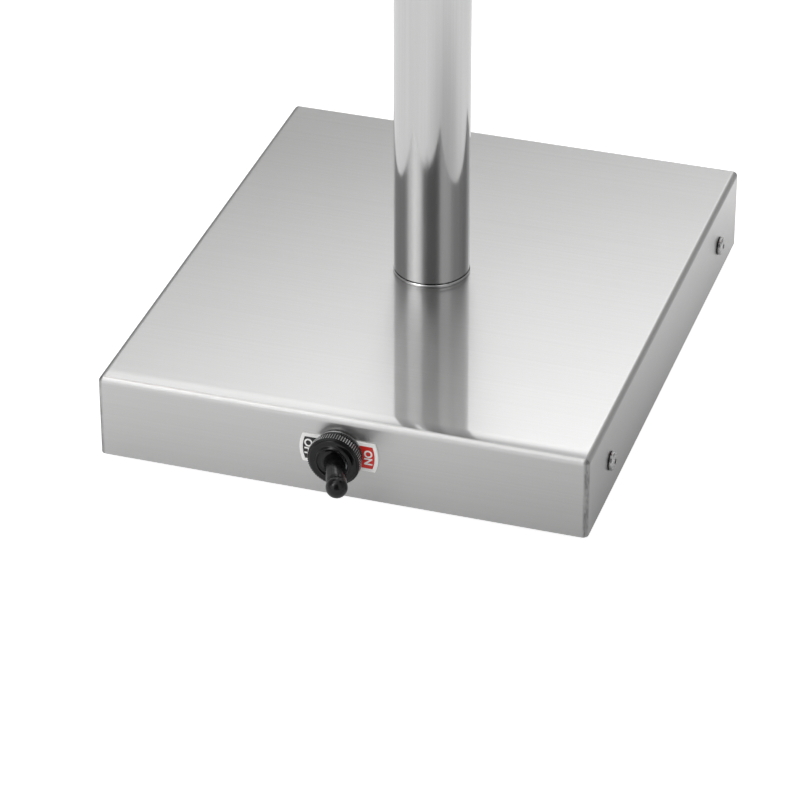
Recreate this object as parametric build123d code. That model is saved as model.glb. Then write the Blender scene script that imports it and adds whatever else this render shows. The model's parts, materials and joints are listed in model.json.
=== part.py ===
from build123d import *
import math
import os

# Food heat lamp: a folded steel base with a toggle switch, a telescopic column and
# a crossbar with two infrared lamps. Millimetres. The origin is on the floor under
# the column, +X is right seen from the front, +Y is to the back and +Z is up.

# Base shell and the tray that closes it
base_width = 200.0
base_depth = 240.0
base_height = 35.0
base_sheet = 1.2
base_bend_radius = 2.4
floor_gap = 4.0
tray_sheet = 1.2
tray_recess = 1.0
tray_side_gap = 0.3
tray_end_gap = 1.0
tray_bend_radius = 2.0
tray_flange_height = 24.0

# Pan-head screws in the base sides, with nuts clinched into the tray
side_screw_inset = 32.5
side_screw_height = 15.6
pan_head_radius = 3.9
pan_head_height = 2.1
pan_head_crown = 1.1
recess_length = 2.6
recess_width = 1.0
recess_depth = 0.7
screw_radius = 2.0
side_screw_length = 12.0
clinch_nut_radius = 4.2
clinch_nut_length = 4.0
clinch_shank_radius = 2.9

# Push-in rubber feet and the ballast plate
foot_radius = 9.0
foot_taper = 0.8
foot_neck_radius = 4.0
foot_head_radius = 6.0
foot_head_height = 2.5
foot_inset = 24.0
ballast_width = 130.0
ballast_depth = 170.0
ballast_thickness = 6.0
ballast_screw_inset = 15.0
ballast_screw_length = 6.0
ballast_head_height = 2.0
ballast_head_crown = 1.2

# Terminal block, earth stud and leads
block_x = -45.0
block_y = 40.0
block_depth = 18.0
block_height = 16.0
pole_count = 4
pole_pitch = 10.0
pole_bore_radius = 1.8
pole_bore_height = 6.0
clamp_well_radius = 2.0
clamp_well_depth = 7.0
clamp_well_offset = 4.5
block_screw_radius = 1.5
block_screw_head_radius = 2.8
block_screw_head_height = 2.0
block_screw_depth = 4.0
block_end_margin = 5.0
earth_x = 45.0
earth_y = 60.0
earth_stud_radius = 2.0
earth_stud_length = 12.0
earth_nut_flats = 7.0
earth_nut_height = 3.2
earth_well_radius = 7.0
lead_radius = 1.2
lead_bend = 9.0
lead_spacing = 4.4
lead_start_run = 21.6
lead_end_run = 36.0

# Toggle switch, its legend plate and its rubber boot
switch_height = 20.0
switch_body_width = 28.0
switch_body_height = 16.0
switch_body_depth = 20.0
switch_body_clearance = 1.0
terminal_width = 6.3
terminal_thickness = 0.8
terminal_length = 10.0
terminal_spread = 7.0
bushing_radius = 6.0
bushing_reach = 7.0
bushing_wall = 2.5
bushing_floor = 2.0
lock_washer_radius = 9.2
lock_washer_thickness = 0.8
inner_nut_flats = 17.0
inner_nut_height = 2.5
legend_radius = 16.05
legend_height = 12.7
legend_thickness = 0.6
lever_tilt = 20.8
lever_pivot_reach = 5.5
lever_length = 20.0
lever_rod_radius = 2.0
lever_tip_radius = 2.9
lever_pin_radius = 0.8
boot_nut_foot_radius = 9.9
boot_nut_foot_height = 0.9
boot_nut_neck_radius = 9.2
boot_nut_neck_height = 2.7
boot_nut_radius = 10.75
boot_nut_rim = 2.8
boot_nut_chamfer_width = 1.05
boot_nut_chamfer_height = 0.6
boot_nut_land = 4.0
knurl_count = 64
knurl_depth = 0.4
boot_flange_radius = 8.8
boot_lip_radius = 9.6
boot_lip_height = 0.3
boot_shoulder_radius = 8.6
boot_shoulder_height = 0.8
boot_crest_radius = 6.6
boot_crest_height = 1.4
boot_valley_radius = 5.0
boot_valley_height = 0.4
boot_underside_gap = 0.4
boot_root_radius = 4.3
boot_sleeve_radius = 3.8
boot_waist_radius = 3.6
boot_waist_length = 1.1
boot_tip_radius = 4.0

# Cable gland in the rear face
gland_x = -41.0
gland_height = 17.0
gland_thread_radius = 8.0
gland_thread_length = 9.0
gland_hex_flats = 22.0
gland_hex_height = 5.0
gland_neck_radius = 7.5
gland_neck_length = 8.0
gland_bore_radius = 5.0
gland_nut_height = 4.5
gland_dome_radius = 10.5
gland_dome_length = 20.0
gland_dome_round = 3.0
gland_dome_lip = 2.5
gland_mouth_radius = 4.8
gland_seal_radius = 7.2
gland_seal_bore = 4.0

# Column, its screwed foot and the stack that holds it under the base top
column_diameter = 31.0
column_wall = 1.5
column_top = 340.0
seat_ring_overhang = 0.25
seat_ring_thickness = 1.8
seat_groove_height = 0.4
seat_groove_depth = 0.8
spigot_length = 30.0
stud_radius = 8.0
stud_bore_radius = 5.5
stud_tail = 1.0
backing_plate_size = 70.0
backing_plate_thickness = 3.0
column_washer_radius = 15.0
column_washer_thickness = 1.6
column_nut_flats = 24.0
column_nut_height = 7.0

# Telescopic mast, its guides and the clamp
mast_diameter = 25.0
mast_wall = 1.5
mast_stop_gap = 0.6
guide_offset = 6.0
guide_length = 30.0
guide_ring_height = 1.2
guide_ring_reach = 0.8
guide_groove_depth = 0.55
column_bush_length = 40.0
column_bush_flange = 3.0
collar_wall = 5.5
collar_height = 32.0
collar_drop = 2.0
clamp_boss_radius = 9.0
clamp_boss_reach = 31.0
clamp_stud_radius = 4.0
clamp_pad_length = 2.6
clamp_pad_gap = 0.1
knob_radius = 17.0
knob_height = 14.0
knob_lobes = 6
knob_scallop_radius = 6.0
knob_scallop_depth = 3.0
knob_round = 2.0
knob_hub_radius = 8.0
knob_hub_height = 3.0
knob_stand_off = 1.0
knob_stud_depth = 9.0

# Head: tee block, crossbar and the screws that hold them
bar_height = 600.0
bar_diameter = 25.0
bar_wall = 1.5
bar_half_length = 176.0
tee_radius = 19.0
tee_drop = 40.0
tee_round = 5.0
tee_wire_radius = 6.0
bar_wire_radius = 5.0
tee_screw_radius = 2.5
tee_screw_recess = 0.5
mast_screw_drop = 28.0

# Lamp elbow, turning in the end of the crossbar
elbow_bend = 24.0
elbow_wall = 2.5
elbow_spigot_length = 28.0
elbow_spigot_wall = 2.4
elbow_groove_inset = 14.0
elbow_groove_depth = 1.0
elbow_groove_width = 5.4
elbow_collar_height = 6.0
elbow_flange_radius = 17.0
elbow_flange_height = 4.0
tilt_screw_radius = 2.5
tilt_screw_head_radius = 4.2
tilt_screw_head_height = 2.6
tilt_screw_head_crown = 1.3

# Lamp shade, spun from sheet
shade_height = 212.0
shade_sheet = 1.0
shade_neck_radius = 34.0
shade_neck_height = 66.0
shade_mouth_radius = 88.0
shade_skirt_height = 54.0
shade_top_round = 8.0
shade_neck_round = 60.0
shade_skirt_round = 90.0
shade_bead_radius = 1.8
vent_count = 12
vent_width = 5.0
vent_height = 26.0
vent_drop = 27.0

# Lamp holder and infrared bulb
nipple_radius = 5.0
nipple_bore_radius = 3.6
nipple_rise = 4.5
nipple_nut_flats = 15.0
nipple_nut_height = 4.0
holder_gap = 0.3
holder_boss_radius = 11.0
holder_boss_height = 8.0
holder_thread_depth = 7.5
holder_nipple_depth = 7.0
holder_radius = 22.0
holder_height = 52.0
holder_cavity_radius = 15.2
holder_roof = 14.0
holder_wire_radius = 2.5
contact_shell_gap = 0.2
contact_shell_wall = 0.6
contact_shell_length = 34.5
contact_disc_radius = 5.0
contact_disc_height = 3.5
bulb_cap_radius = 13.9
bulb_cap_wall = 0.6
bulb_cap_length = 26.0
bulb_neck_gap = 0.3
bulb_neck_overlap = 8.0
bulb_length = 178.0
bulb_neck_length = 10.0
bulb_radius = 62.5
bulb_belly_height = 36.0
bulb_face_sag = 12.0
bulb_face_flat = 22.0
bulb_neck_round = 30.0
bulb_belly_round = 45.0
bulb_rim_round = 14.0
bulb_face_round = 60.0
bulb_glass = 1.2

# Edge breaks and clearances
edge_break = 0.3
small_round = 0.8
thread_gap = 0.05
slip_gap = 0.1
hole_gap = 0.25
run_gap = 0.1
ball_gap = 0.05
end_gap = 0.2
boot_gap = 0.12
cut = 1.0

# Levels and places worked out from the sizes above
shell_bottom = floor_gap
shell_top = floor_gap + base_height
front = -base_depth / 2
back = base_depth / 2
side = base_width / 2
tray_bottom = shell_bottom + tray_recess
tray_top = tray_bottom + tray_sheet
tray_wall = side - base_sheet - tray_side_gap
ballast_top = tray_top + ballast_thickness
screw_ys = (front + side_screw_inset, back - side_screw_inset)
screw_z = shell_bottom + side_screw_height
switch_z = shell_bottom + switch_height
gland_z = shell_bottom + gland_height
column_radius = column_diameter / 2
column_bore = column_radius - column_wall
column_bottom = shell_top + seat_ring_thickness
spigot_top = column_bottom + spigot_length
mast_radius = mast_diameter / 2
mast_bore = mast_radius - mast_wall
mast_bottom = spigot_top + mast_stop_gap
guide_bottom = mast_bottom + guide_offset
bar_radius = bar_diameter / 2
bar_bore = bar_radius - bar_wall
mast_top = bar_height - bar_radius - end_gap
clamp_z = column_top - collar_drop - collar_height / 2
lamp_x = bar_half_length + elbow_bend
shade_top = bar_height - elbow_bend - elbow_collar_height - elbow_flange_height
holder_top = -shade_sheet - nipple_nut_height - holder_gap
contact_roof = holder_top - holder_roof - contact_shell_gap
bulb_top = contact_roof - contact_shell_wall - contact_shell_gap
cap_top = bulb_top - contact_disc_height
cap_bottom = cap_top - bulb_cap_length

# Terminal block and the stack that holds the column, as levels
block_length = pole_count * pole_pitch + 2 * (block_end_margin + block_screw_head_radius)
pole_xs = [block_x + (index - (pole_count - 1) / 2) * pole_pitch for index in range(pole_count)]
switch_pole_xs = pole_xs[:2]
lamp_pole_xs = pole_xs[2:]
block_screw_xs = [block_x + sign * (block_length / 2 - block_end_margin) for sign in (-1, 1)]
pole_z = ballast_top + pole_bore_height
block_front = block_y - block_depth / 2
plate_under = shell_top - base_sheet - backing_plate_thickness
washer_under = plate_under - column_washer_thickness
column_nut_under = washer_under - column_nut_height

# Switch levels, outwards from the front face
washer_inner = -base_sheet - lock_washer_thickness
nut_inner = washer_inner - inner_nut_height
switch_face = nut_inner - switch_body_clearance
switch_body_end = switch_face - switch_body_depth
switch_terminal_end = switch_body_end - terminal_length
bushing_bore = bushing_radius - bushing_wall
lever_ball_radius = bushing_bore - ball_gap
nut_seat = legend_thickness
nut_neck = nut_seat + boot_nut_foot_height
nut_rim = nut_neck + boot_nut_neck_height
nut_edge = nut_rim + boot_nut_rim
nut_front = nut_edge + boot_nut_chamfer_height
boot_seat = nut_seat + boot_nut_land
boot_face = nut_front + thread_gap

# Gland levels, outwards from the rear face
gland_neck_end = gland_hex_height + gland_neck_length
gland_dome_start = gland_hex_height + end_gap
gland_dome_end = gland_dome_start + gland_dome_length

# Clamp levels, outwards from the column's axis, and the screws in the tee
pad_face = mast_radius + clamp_pad_gap
stud_tip = pad_face + clamp_pad_length
knob_low = clamp_boss_reach + knob_stand_off
knob_base = knob_low + knob_hub_height
tee_screw_heights = (bar_height, bar_height - mast_screw_drop)

ON_AXIS = (Align.CENTER, Align.CENTER, Align.MIN)


def disc(radius, low, high):
    """Cylinder on the local Z axis between two levels."""
    return Pos(0, 0, low) * Cylinder(radius, high - low, align=ON_AXIS)


def ring(outer, inner, low, high):
    """Cylinder with a bore on the local Z axis."""
    return disc(outer, low, high) - disc(inner, low - cut, high + cut)


def hexagon(flats, low, high):
    """Hexagonal prism on the local Z axis, given across its flats."""
    return Pos(0, 0, low) * extrude(RegularPolygon(flats / 2, 6, major_radius=False), high - low)


def brick(low, high):
    """Box between two opposite corners."""
    sizes = [b - a for a, b in zip(low, high)]
    middle = [(a + b) / 2 for a, b in zip(low, high)]
    return Pos(*middle) * Box(*sizes)


def turned(*points):
    """Solid turned about the local Z axis from (radius, level) points."""
    outline = Polyline(*[(radius, 0, level) for radius, level in points], close=True)
    return revolve(make_face(outline), Axis.Z)


def spun(points, radii, wall):
    """Thin wall turned about the local Z axis, with a rounded (radius, level) line as its outside."""
    line = FilletPolyline(*points, radius=radii)
    section = make_face(offset(line, wall, side=Side.RIGHT))
    return revolve(Plane.XZ * section, Axis.Z)


def placed(origin, x_dir, z_dir):
    """Frame whose local Z points along z_dir."""
    return Plane(origin=origin, x_dir=x_dir, z_dir=z_dir).location


def group(*shapes):
    """Separate solids kept together under one name."""
    return Compound([solid for shape in shapes for solid in shape.solids()])


def lead(points):
    """Insulated wire along straight runs joined by arcs."""
    path = FilletPolyline(*points, radius=lead_bend)
    section = Plane(path @ 0, z_dir=path % 0) * Circle(lead_radius)
    return sweep(section, path=path)


switch_frame = placed((0, front, switch_z), (1, 0, 0), (0, -1, 0))
gland_frame = placed((gland_x, back, gland_z), (-1, 0, 0), (0, 1, 0))
lever_lean = math.radians(lever_tilt)
lever_frame = placed(
    (0, front - lever_pivot_reach, switch_z),
    (math.cos(lever_lean), math.sin(lever_lean), 0),
    (math.sin(lever_lean), -math.cos(lever_lean), 0),
)
clamp_frame = placed((0, 0, clamp_z), (0, 1, 0), (1, 0, 0))
side_frames = [
    placed((sign * side, y, screw_z), (0, sign, 0), (sign, 0, 0)) for sign in (-1, 1) for y in screw_ys
]
foot_spots = [
    (sx * (side - foot_inset), sy * (back - foot_inset)) for sx in (-1, 1) for sy in (-1, 1)
]
ballast_spots = [
    (sx * (ballast_width / 2 - ballast_screw_inset), sy * (ballast_depth / 2 - ballast_screw_inset))
    for sx in (-1, 1)
    for sy in (-1, 1)
]


def pan_head_screw(length, head_radius, head_height, crown, radius):
    """Screw with a domed head on local Z = 0 and a crosswise recess, its shank pointing down."""
    head = disc(head_radius, 0, head_height)
    rim = head.edges().sort_by(Axis.Z)[-1]
    head = fillet(rim, crown)
    for turn in (0, 90):
        wing = Box(recess_length, recess_width, recess_depth)
        head -= Pos(0, 0, head_height - recess_depth / 2) * Rot(0, 0, turn) * wing
    return head + disc(radius, -length, 0)


# Base

def rounded_box(width, depth, height, radius):
    """Box standing on Z = 0 with its upright and upper edges rounded."""
    box = Pos(0, 0, height / 2) * Box(width, depth, height)
    upright = box.edges().filter_by(Axis.Z)
    upper = box.faces().sort_by(Axis.Z)[-1].edges()
    return fillet(upright + upper, radius)


def base_shell():
    inner_bend = max(base_bend_radius - base_sheet, edge_break)
    outer = rounded_box(base_width, base_depth, base_height, base_bend_radius)
    inner = rounded_box(
        base_width - 2 * base_sheet, base_depth - 2 * base_sheet, base_height - base_sheet, inner_bend
    )
    shell = Pos(0, 0, shell_bottom) * (outer - inner)
    shell -= disc(stud_radius + slip_gap, shell_top - base_sheet - cut, shell_top + cut)
    shell -= switch_frame * disc(bushing_radius + slip_gap, -base_sheet - cut, cut)
    shell -= gland_frame * disc(gland_thread_radius + slip_gap, -base_sheet - cut, cut)
    for spot in side_frames:
        shell -= spot * disc(screw_radius + hole_gap, -base_sheet - cut, cut)
    return shell


def bottom_tray():
    width = 2 * tray_wall
    depth = base_depth - 2 * (base_sheet + tray_end_gap)
    inner_bend = max(tray_bend_radius - tray_sheet, edge_break)
    outer = brick((-width / 2, -depth / 2, 0), (width / 2, depth / 2, tray_flange_height))
    outer = fillet(outer.edges().filter_by(Axis.Y).group_by(Axis.Z)[0], tray_bend_radius)
    inner = brick(
        (tray_sheet - width / 2, -depth / 2 - cut, tray_sheet),
        (width / 2 - tray_sheet, depth / 2 + cut, tray_flange_height + cut),
    )
    inner = fillet(inner.edges().filter_by(Axis.Y).group_by(Axis.Z)[0], inner_bend)
    tray = Pos(0, 0, tray_bottom) * (outer - inner)
    for spot in side_frames:
        depth_in = tray_wall - side
        tray -= spot * disc(clinch_shank_radius + thread_gap, depth_in - tray_sheet - cut, depth_in + cut)
    for x, y in foot_spots:
        tray -= Pos(x, y) * disc(foot_neck_radius + slip_gap, tray_bottom - cut, tray_top + cut)
    for x, y in ballast_spots:
        tray -= Pos(x, y) * disc(screw_radius + hole_gap, tray_bottom - cut, tray_top + cut)
    tray -= Pos(earth_x, earth_y) * disc(earth_stud_radius + thread_gap, tray_bottom - cut, tray_top + cut)
    return tray


def side_screws():
    screw = pan_head_screw(
        side_screw_length, pan_head_radius, pan_head_height, pan_head_crown, screw_radius
    )
    return group(*[spot * screw for spot in side_frames])


def clinch_nuts():
    face = tray_wall - side - tray_sheet
    nut = disc(clinch_nut_radius, face - clinch_nut_length, face)
    nut += disc(clinch_shank_radius, face, face + tray_sheet)
    nut -= disc(screw_radius + thread_gap, face - clinch_nut_length - cut, face + tray_sheet + cut)
    return group(*[spot * nut for spot in side_frames])


def rubber_feet():
    foot = turned(
        (0, 0),
        (foot_radius - foot_taper, 0),
        (foot_radius, foot_taper),
        (foot_radius, tray_bottom),
        (foot_neck_radius, tray_bottom),
        (foot_neck_radius, tray_top),
        (foot_head_radius, tray_top),
        (foot_neck_radius, tray_top + foot_head_height),
        (0, tray_top + foot_head_height),
    )
    return group(*[Pos(x, y) * foot for x, y in foot_spots])


def ballast_plate():
    plate = brick(
        (-ballast_width / 2, -ballast_depth / 2, tray_top),
        (ballast_width / 2, ballast_depth / 2, ballast_top),
    )
    plate = fillet(plate.edges().filter_by(Axis.Z), small_round)
    for x, y in ballast_spots:
        plate -= Pos(x, y) * disc(screw_radius + thread_gap, tray_top - cut, ballast_top + cut)
    thread_low = ballast_top - block_screw_depth
    for x in block_screw_xs:
        plate -= Pos(x, block_y) * disc(block_screw_radius + thread_gap, thread_low, ballast_top + cut)
    plate -= Pos(earth_x, earth_y) * disc(earth_well_radius, tray_top - cut, ballast_top + cut)
    return plate


def ballast_screws():
    screw = pan_head_screw(
        ballast_screw_length, pan_head_radius, ballast_head_height, ballast_head_crown, screw_radius
    )
    return group(*[Pos(x, y, tray_bottom) * Rot(180, 0, 0) * screw for x, y in ballast_spots])


# Terminal block, earth stud and leads

def terminal_block():
    block = brick(
        (block_x - block_length / 2, block_front, ballast_top),
        (block_x + block_length / 2, block_y + block_depth / 2, ballast_top + block_height),
    )
    block = fillet(block.edges().filter_by(Axis.Z), small_round)
    roof = ballast_top + block_height
    bore = placed((0, block_y, 0), (1, 0, 0), (0, 1, 0))
    for x in pole_xs:
        along = disc(pole_bore_radius, -block_depth / 2 - cut, block_depth / 2 + cut)
        block -= Pos(x, 0, pole_z) * bore * along
        for y in (block_y - clamp_well_offset, block_y + clamp_well_offset):
            block -= Pos(x, y) * disc(clamp_well_radius, roof - clamp_well_depth, roof + cut)
    for x in block_screw_xs:
        block -= Pos(x, block_y) * disc(block_screw_radius + slip_gap, ballast_top - cut, roof + cut)
    return block


def terminal_block_screws():
    seat = ballast_top + block_height
    length = block_height + block_screw_depth - end_gap
    screw = disc(block_screw_head_radius, 0, block_screw_head_height) + disc(block_screw_radius, -length, 0)
    slot = Box(2 * block_screw_head_radius + cut, recess_width, recess_depth)
    screw -= Pos(0, 0, block_screw_head_height) * slot
    return group(*[Pos(x, block_y, seat) * screw for x in block_screw_xs])


def earth_stud():
    stud = disc(earth_stud_radius, tray_bottom, tray_top + earth_stud_length)
    nut = hexagon(earth_nut_flats, tray_top, tray_top + earth_nut_height)
    nut -= disc(earth_stud_radius + thread_gap, tray_top - cut, tray_top + earth_nut_height + cut)
    return group(Pos(earth_x, earth_y) * stud, Pos(earth_x, earth_y) * nut)


def switch_leads():
    start_y = front - switch_terminal_end
    wires = []
    for sign, pole_x in zip((-1, 1), switch_pole_xs):
        x = sign * terminal_spread
        wires.append(
            lead(
                [
                    (x, start_y, switch_z),
                    (x, start_y + lead_start_run, switch_z),
                    (pole_x, block_front - lead_end_run, pole_z),
                    (pole_x, block_front, pole_z),
                ]
            )
        )
    return group(*wires)


def lamp_leads():
    wires = []
    for sign, pole_x in zip((-1, 1), lamp_pole_xs):
        y = sign * lead_spacing / 2
        wires.append(
            lead(
                [
                    (pole_x, block_front, pole_z),
                    (pole_x, block_front / 2 + sign * lead_spacing, pole_z),
                    (0, y, pole_z),
                    (0, y, spigot_top),
                ]
            )
        )
    return group(*wires)


# Toggle switch; local Z runs outwards from the front face

def switch_body():
    body = brick(
        (-switch_body_width / 2, -switch_body_height / 2, switch_body_end),
        (switch_body_width / 2, switch_body_height / 2, switch_face),
    )
    return switch_frame * fillet(body.edges(), small_round)


def switch_terminals():
    blade = Box(terminal_width, terminal_thickness, terminal_length)
    level = switch_body_end - terminal_length / 2
    return group(*[switch_frame * Pos(sign * terminal_spread, 0, level) * blade for sign in (-1, 1)])


def switch_bushing():
    bushing = disc(bushing_radius, switch_face, bushing_reach)
    bushing -= disc(bushing_bore, switch_face + bushing_floor, bushing_reach + cut)
    bushing = switch_frame * bushing
    return bushing - lever_pin_rod(lever_pin_radius + thread_gap)


def lever_pin_rod(radius):
    """Cylinder on the lever's pivot axis, as long as the bushing is wide."""
    reach = bushing_radius - slip_gap
    return Pos(0, front - lever_pivot_reach, switch_z) * disc(radius, -reach, reach)


def lever_shape(gap):
    """The lever in its own frame, grown all round by a gap."""
    rod = disc(lever_rod_radius + gap, 0, lever_length)
    rod += Sphere(lever_ball_radius + gap)
    return rod + Pos(0, 0, lever_length) * Sphere(lever_tip_radius + gap)


def switch_lever():
    return lever_frame * lever_shape(0) - lever_pin_rod(lever_pin_radius + run_gap)


def switch_lever_pin():
    return lever_pin_rod(lever_pin_radius)


def switch_lock_washer():
    return switch_frame * ring(lock_washer_radius, bushing_radius + thread_gap, washer_inner, -base_sheet)


def switch_inner_nut():
    nut = hexagon(inner_nut_flats, nut_inner, washer_inner)
    return switch_frame * (nut - disc(bushing_radius + thread_gap, nut_inner - cut, washer_inner + cut))


def legend_plate():
    plate = ring(legend_radius, bushing_radius + slip_gap, 0, legend_thickness)
    band = Pos(0, 0, legend_thickness / 2) * Box(4 * legend_radius, legend_height, 2 * legend_thickness)
    return switch_frame * (plate & band)


def boot_nut():
    corners = []
    for index in range(2 * knurl_count):
        radius = boot_nut_radius - knurl_depth * (index % 2)
        angle = math.pi * index / knurl_count
        corners.append((radius * math.cos(angle), radius * math.sin(angle)))
    knurl = Pos(0, 0, nut_rim) * extrude(make_face(Polyline(*corners, close=True)), nut_front - nut_rim)
    envelope = turned(
        (0, nut_rim),
        (boot_nut_radius, nut_rim),
        (boot_nut_radius, nut_edge),
        (boot_nut_radius - boot_nut_chamfer_width, nut_front),
        (0, nut_front),
    )
    nut = disc(boot_nut_foot_radius, nut_seat, nut_neck) + disc(boot_nut_neck_radius, nut_neck, nut_rim)
    nut += knurl & envelope
    nut -= disc(bushing_radius + thread_gap, nut_seat - cut, nut_front + cut)
    nut -= disc(boot_flange_radius + slip_gap, boot_seat, nut_front + cut)
    return switch_frame * nut


def switch_boot():
    dome = turned(
        (0, boot_seat + thread_gap),
        (boot_flange_radius, boot_seat + thread_gap),
        (boot_flange_radius, boot_face),
        (boot_lip_radius, boot_face),
        (boot_lip_radius, boot_face + boot_lip_height),
        (boot_shoulder_radius, boot_face + boot_shoulder_height),
        (boot_crest_radius, boot_face + boot_crest_height),
        (boot_valley_radius, boot_face + boot_valley_height),
        (0, boot_face + boot_valley_height),
    )
    waist = lever_length - math.sqrt(boot_tip_radius**2 - boot_waist_radius**2)
    root = bushing_reach + boot_underside_gap - lever_pivot_reach
    sleeve = turned(
        (0, root),
        (boot_root_radius, root),
        (boot_root_radius, boot_face + boot_valley_height - lever_pivot_reach),
        (boot_sleeve_radius, waist - boot_waist_length),
        (boot_waist_radius, waist),
        (0, waist),
    )
    sleeve += Pos(0, 0, lever_length) * Sphere(boot_tip_radius)
    hollow = disc(bushing_radius + end_gap, boot_seat - cut, bushing_reach + boot_underside_gap)
    boot = switch_frame * dome + lever_frame * sleeve
    return boot - switch_frame * hollow - lever_frame * lever_shape(boot_gap)


# Cable gland; local Z runs outwards from the rear face

def gland_body():
    thread_end = -base_sheet - gland_thread_length
    body = disc(gland_thread_radius, thread_end, 0)
    body += hexagon(gland_hex_flats, 0, gland_hex_height)
    body += disc(gland_neck_radius, gland_hex_height, gland_neck_end)
    return gland_frame * (body - disc(gland_bore_radius, thread_end - cut, gland_neck_end + cut))


def gland_lock_nut():
    nut = hexagon(gland_hex_flats, -base_sheet - gland_nut_height, -base_sheet)
    return gland_frame * (
        nut - disc(gland_thread_radius + thread_gap, -base_sheet - gland_nut_height - cut, cut)
    )


def gland_dome_nut():
    dome = disc(gland_dome_radius, gland_dome_start, gland_dome_end)
    dome = fillet(dome.edges().sort_by(Axis.Z)[-1], gland_dome_round)
    dome -= disc(gland_neck_radius + thread_gap, gland_dome_start - cut, gland_dome_end - gland_dome_lip)
    return gland_frame * (dome - disc(gland_mouth_radius, gland_dome_start, gland_dome_end + cut))


def gland_seal():
    low = gland_neck_end + thread_gap
    high = gland_dome_end - gland_dome_lip - thread_gap
    return gland_frame * ring(gland_seal_radius, gland_seal_bore, low, high)


# Column

def column_foot():
    seat_radius = column_radius + seat_ring_overhang
    seat = disc(seat_radius, shell_top, column_bottom - seat_groove_height)
    seat = chamfer(seat.edges().filter_by(GeomType.CIRCLE), edge_break)
    seat += disc(column_radius - seat_groove_depth, shell_top, column_bottom)
    foot = seat + disc(column_bore - thread_gap, column_bottom, spigot_top)
    foot += disc(stud_radius, column_nut_under - stud_tail, shell_top)
    return foot - disc(stud_bore_radius, column_nut_under - stud_tail - cut, spigot_top + cut)


def column_tube():
    outer = disc(column_radius, column_bottom, column_top)
    outer = chamfer(outer.edges().sort_by(Axis.Z)[0], edge_break)
    tube = outer - disc(column_bore, column_bottom - cut, column_top + cut)
    return tube - clamp_frame * disc(clamp_stud_radius + end_gap, 0, column_diameter)


def column_backing_plate():
    half = backing_plate_size / 2
    plate = brick((-half, -half, plate_under), (half, half, shell_top - base_sheet))
    return plate - disc(stud_radius + slip_gap, plate_under - cut, shell_top)


def column_washer():
    return ring(column_washer_radius, stud_radius + slip_gap, washer_under, plate_under)


def column_nut():
    nut = hexagon(column_nut_flats, column_nut_under, washer_under)
    return nut - disc(stud_radius + thread_gap, column_nut_under - cut, washer_under + cut)


def column_bush():
    low = column_top - column_bush_length
    high = column_top + column_bush_flange
    bush = disc(column_bore - thread_gap, low, column_top) + disc(column_radius, column_top, high)
    bush -= disc(mast_radius + run_gap, low - cut, high + cut)
    return bush - clamp_frame * disc(clamp_stud_radius + end_gap, 0, column_diameter)


def clamp_collar():
    low = column_top - collar_drop - collar_height
    high = column_top - collar_drop
    collar = disc(column_radius + collar_wall, low, high)
    collar = fillet(collar.edges().filter_by(GeomType.CIRCLE), small_round)
    collar += clamp_frame * disc(clamp_boss_radius, column_radius, clamp_boss_reach)
    collar -= disc(column_radius + thread_gap, low - cut, high + cut)
    return collar - clamp_frame * disc(clamp_stud_radius + thread_gap, 0, clamp_boss_reach + cut)


# Clamp screw; local Z runs outwards through the collar's boss

def clamp_pad():
    return clamp_frame * disc(clamp_stud_radius, pad_face, stud_tip)


def clamp_stud():
    return clamp_frame * disc(clamp_stud_radius, stud_tip, knob_low + knob_stud_depth)


def clamp_knob():
    knob = disc(knob_radius, knob_base, knob_base + knob_height)
    reach = knob_radius + knob_scallop_radius - knob_scallop_depth
    for index in range(knob_lobes):
        scallop = disc(knob_scallop_radius, knob_base - cut, knob_base + knob_height + cut)
        knob -= Rot(0, 0, 360 * index / knob_lobes) * Pos(reach, 0, 0) * scallop
    knob = fillet(knob.faces().sort_by(Axis.Z)[-1].edges(), knob_round)
    knob += disc(knob_hub_radius, knob_low, knob_base)
    socket_end = knob_low + knob_stud_depth + thread_gap
    return clamp_frame * (knob - disc(clamp_stud_radius + thread_gap, knob_low - cut, socket_end))


# Mast and head

def mast_guide():
    return ring(column_bore - run_gap, mast_radius + run_gap, guide_bottom, guide_bottom + guide_length)


def mast_ring_levels():
    """Lower faces of the two rings that keep the guide on the mast."""
    return (guide_bottom - end_gap - guide_ring_height, guide_bottom + guide_length + end_gap)


def mast_rings():
    inner = mast_radius - guide_groove_depth + thread_gap
    outer = mast_radius + guide_ring_reach
    return group(*[ring(outer, inner, low, low + guide_ring_height) for low in mast_ring_levels()])


def mast_tube():
    mast = ring(mast_radius, mast_bore, mast_bottom, mast_top)
    for low in mast_ring_levels():
        mast -= ring(
            mast_radius + cut,
            mast_radius - guide_groove_depth,
            low - thread_gap,
            low + guide_ring_height + thread_gap,
        )
    return mast


def across(shape):
    """Turn a shape on the local Z axis onto the crossbar's axis."""
    return placed((0, 0, bar_height), (0, 1, 0), (1, 0, 0)) * shape


def backwards(height, shape):
    """Turn a shape on the local Z axis to point to the back at a height."""
    return placed((0, 0, height), (1, 0, 0), (0, 1, 0)) * shape


def tee_block():
    tee = disc(tee_radius, bar_height - tee_drop, bar_height + tee_radius)
    tee = fillet(tee.edges().filter_by(GeomType.CIRCLE), tee_round)
    tee -= across(disc(bar_radius + thread_gap, -2 * tee_radius, 2 * tee_radius))
    tee -= disc(mast_radius + thread_gap, bar_height - tee_drop - cut, mast_top + end_gap / 2)
    tee -= disc(tee_wire_radius, mast_top, bar_height)
    for height in tee_screw_heights:
        tee -= backwards(height, disc(tee_screw_radius + thread_gap, mast_radius, tee_radius + cut))
    return tee


def tee_screws():
    starts = (bar_radius + thread_gap, mast_radius + thread_gap)
    return group(
        *[
            backwards(height, disc(tee_screw_radius, start, tee_radius - tee_screw_recess))
            for height, start in zip(tee_screw_heights, starts)
        ]
    )


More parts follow.
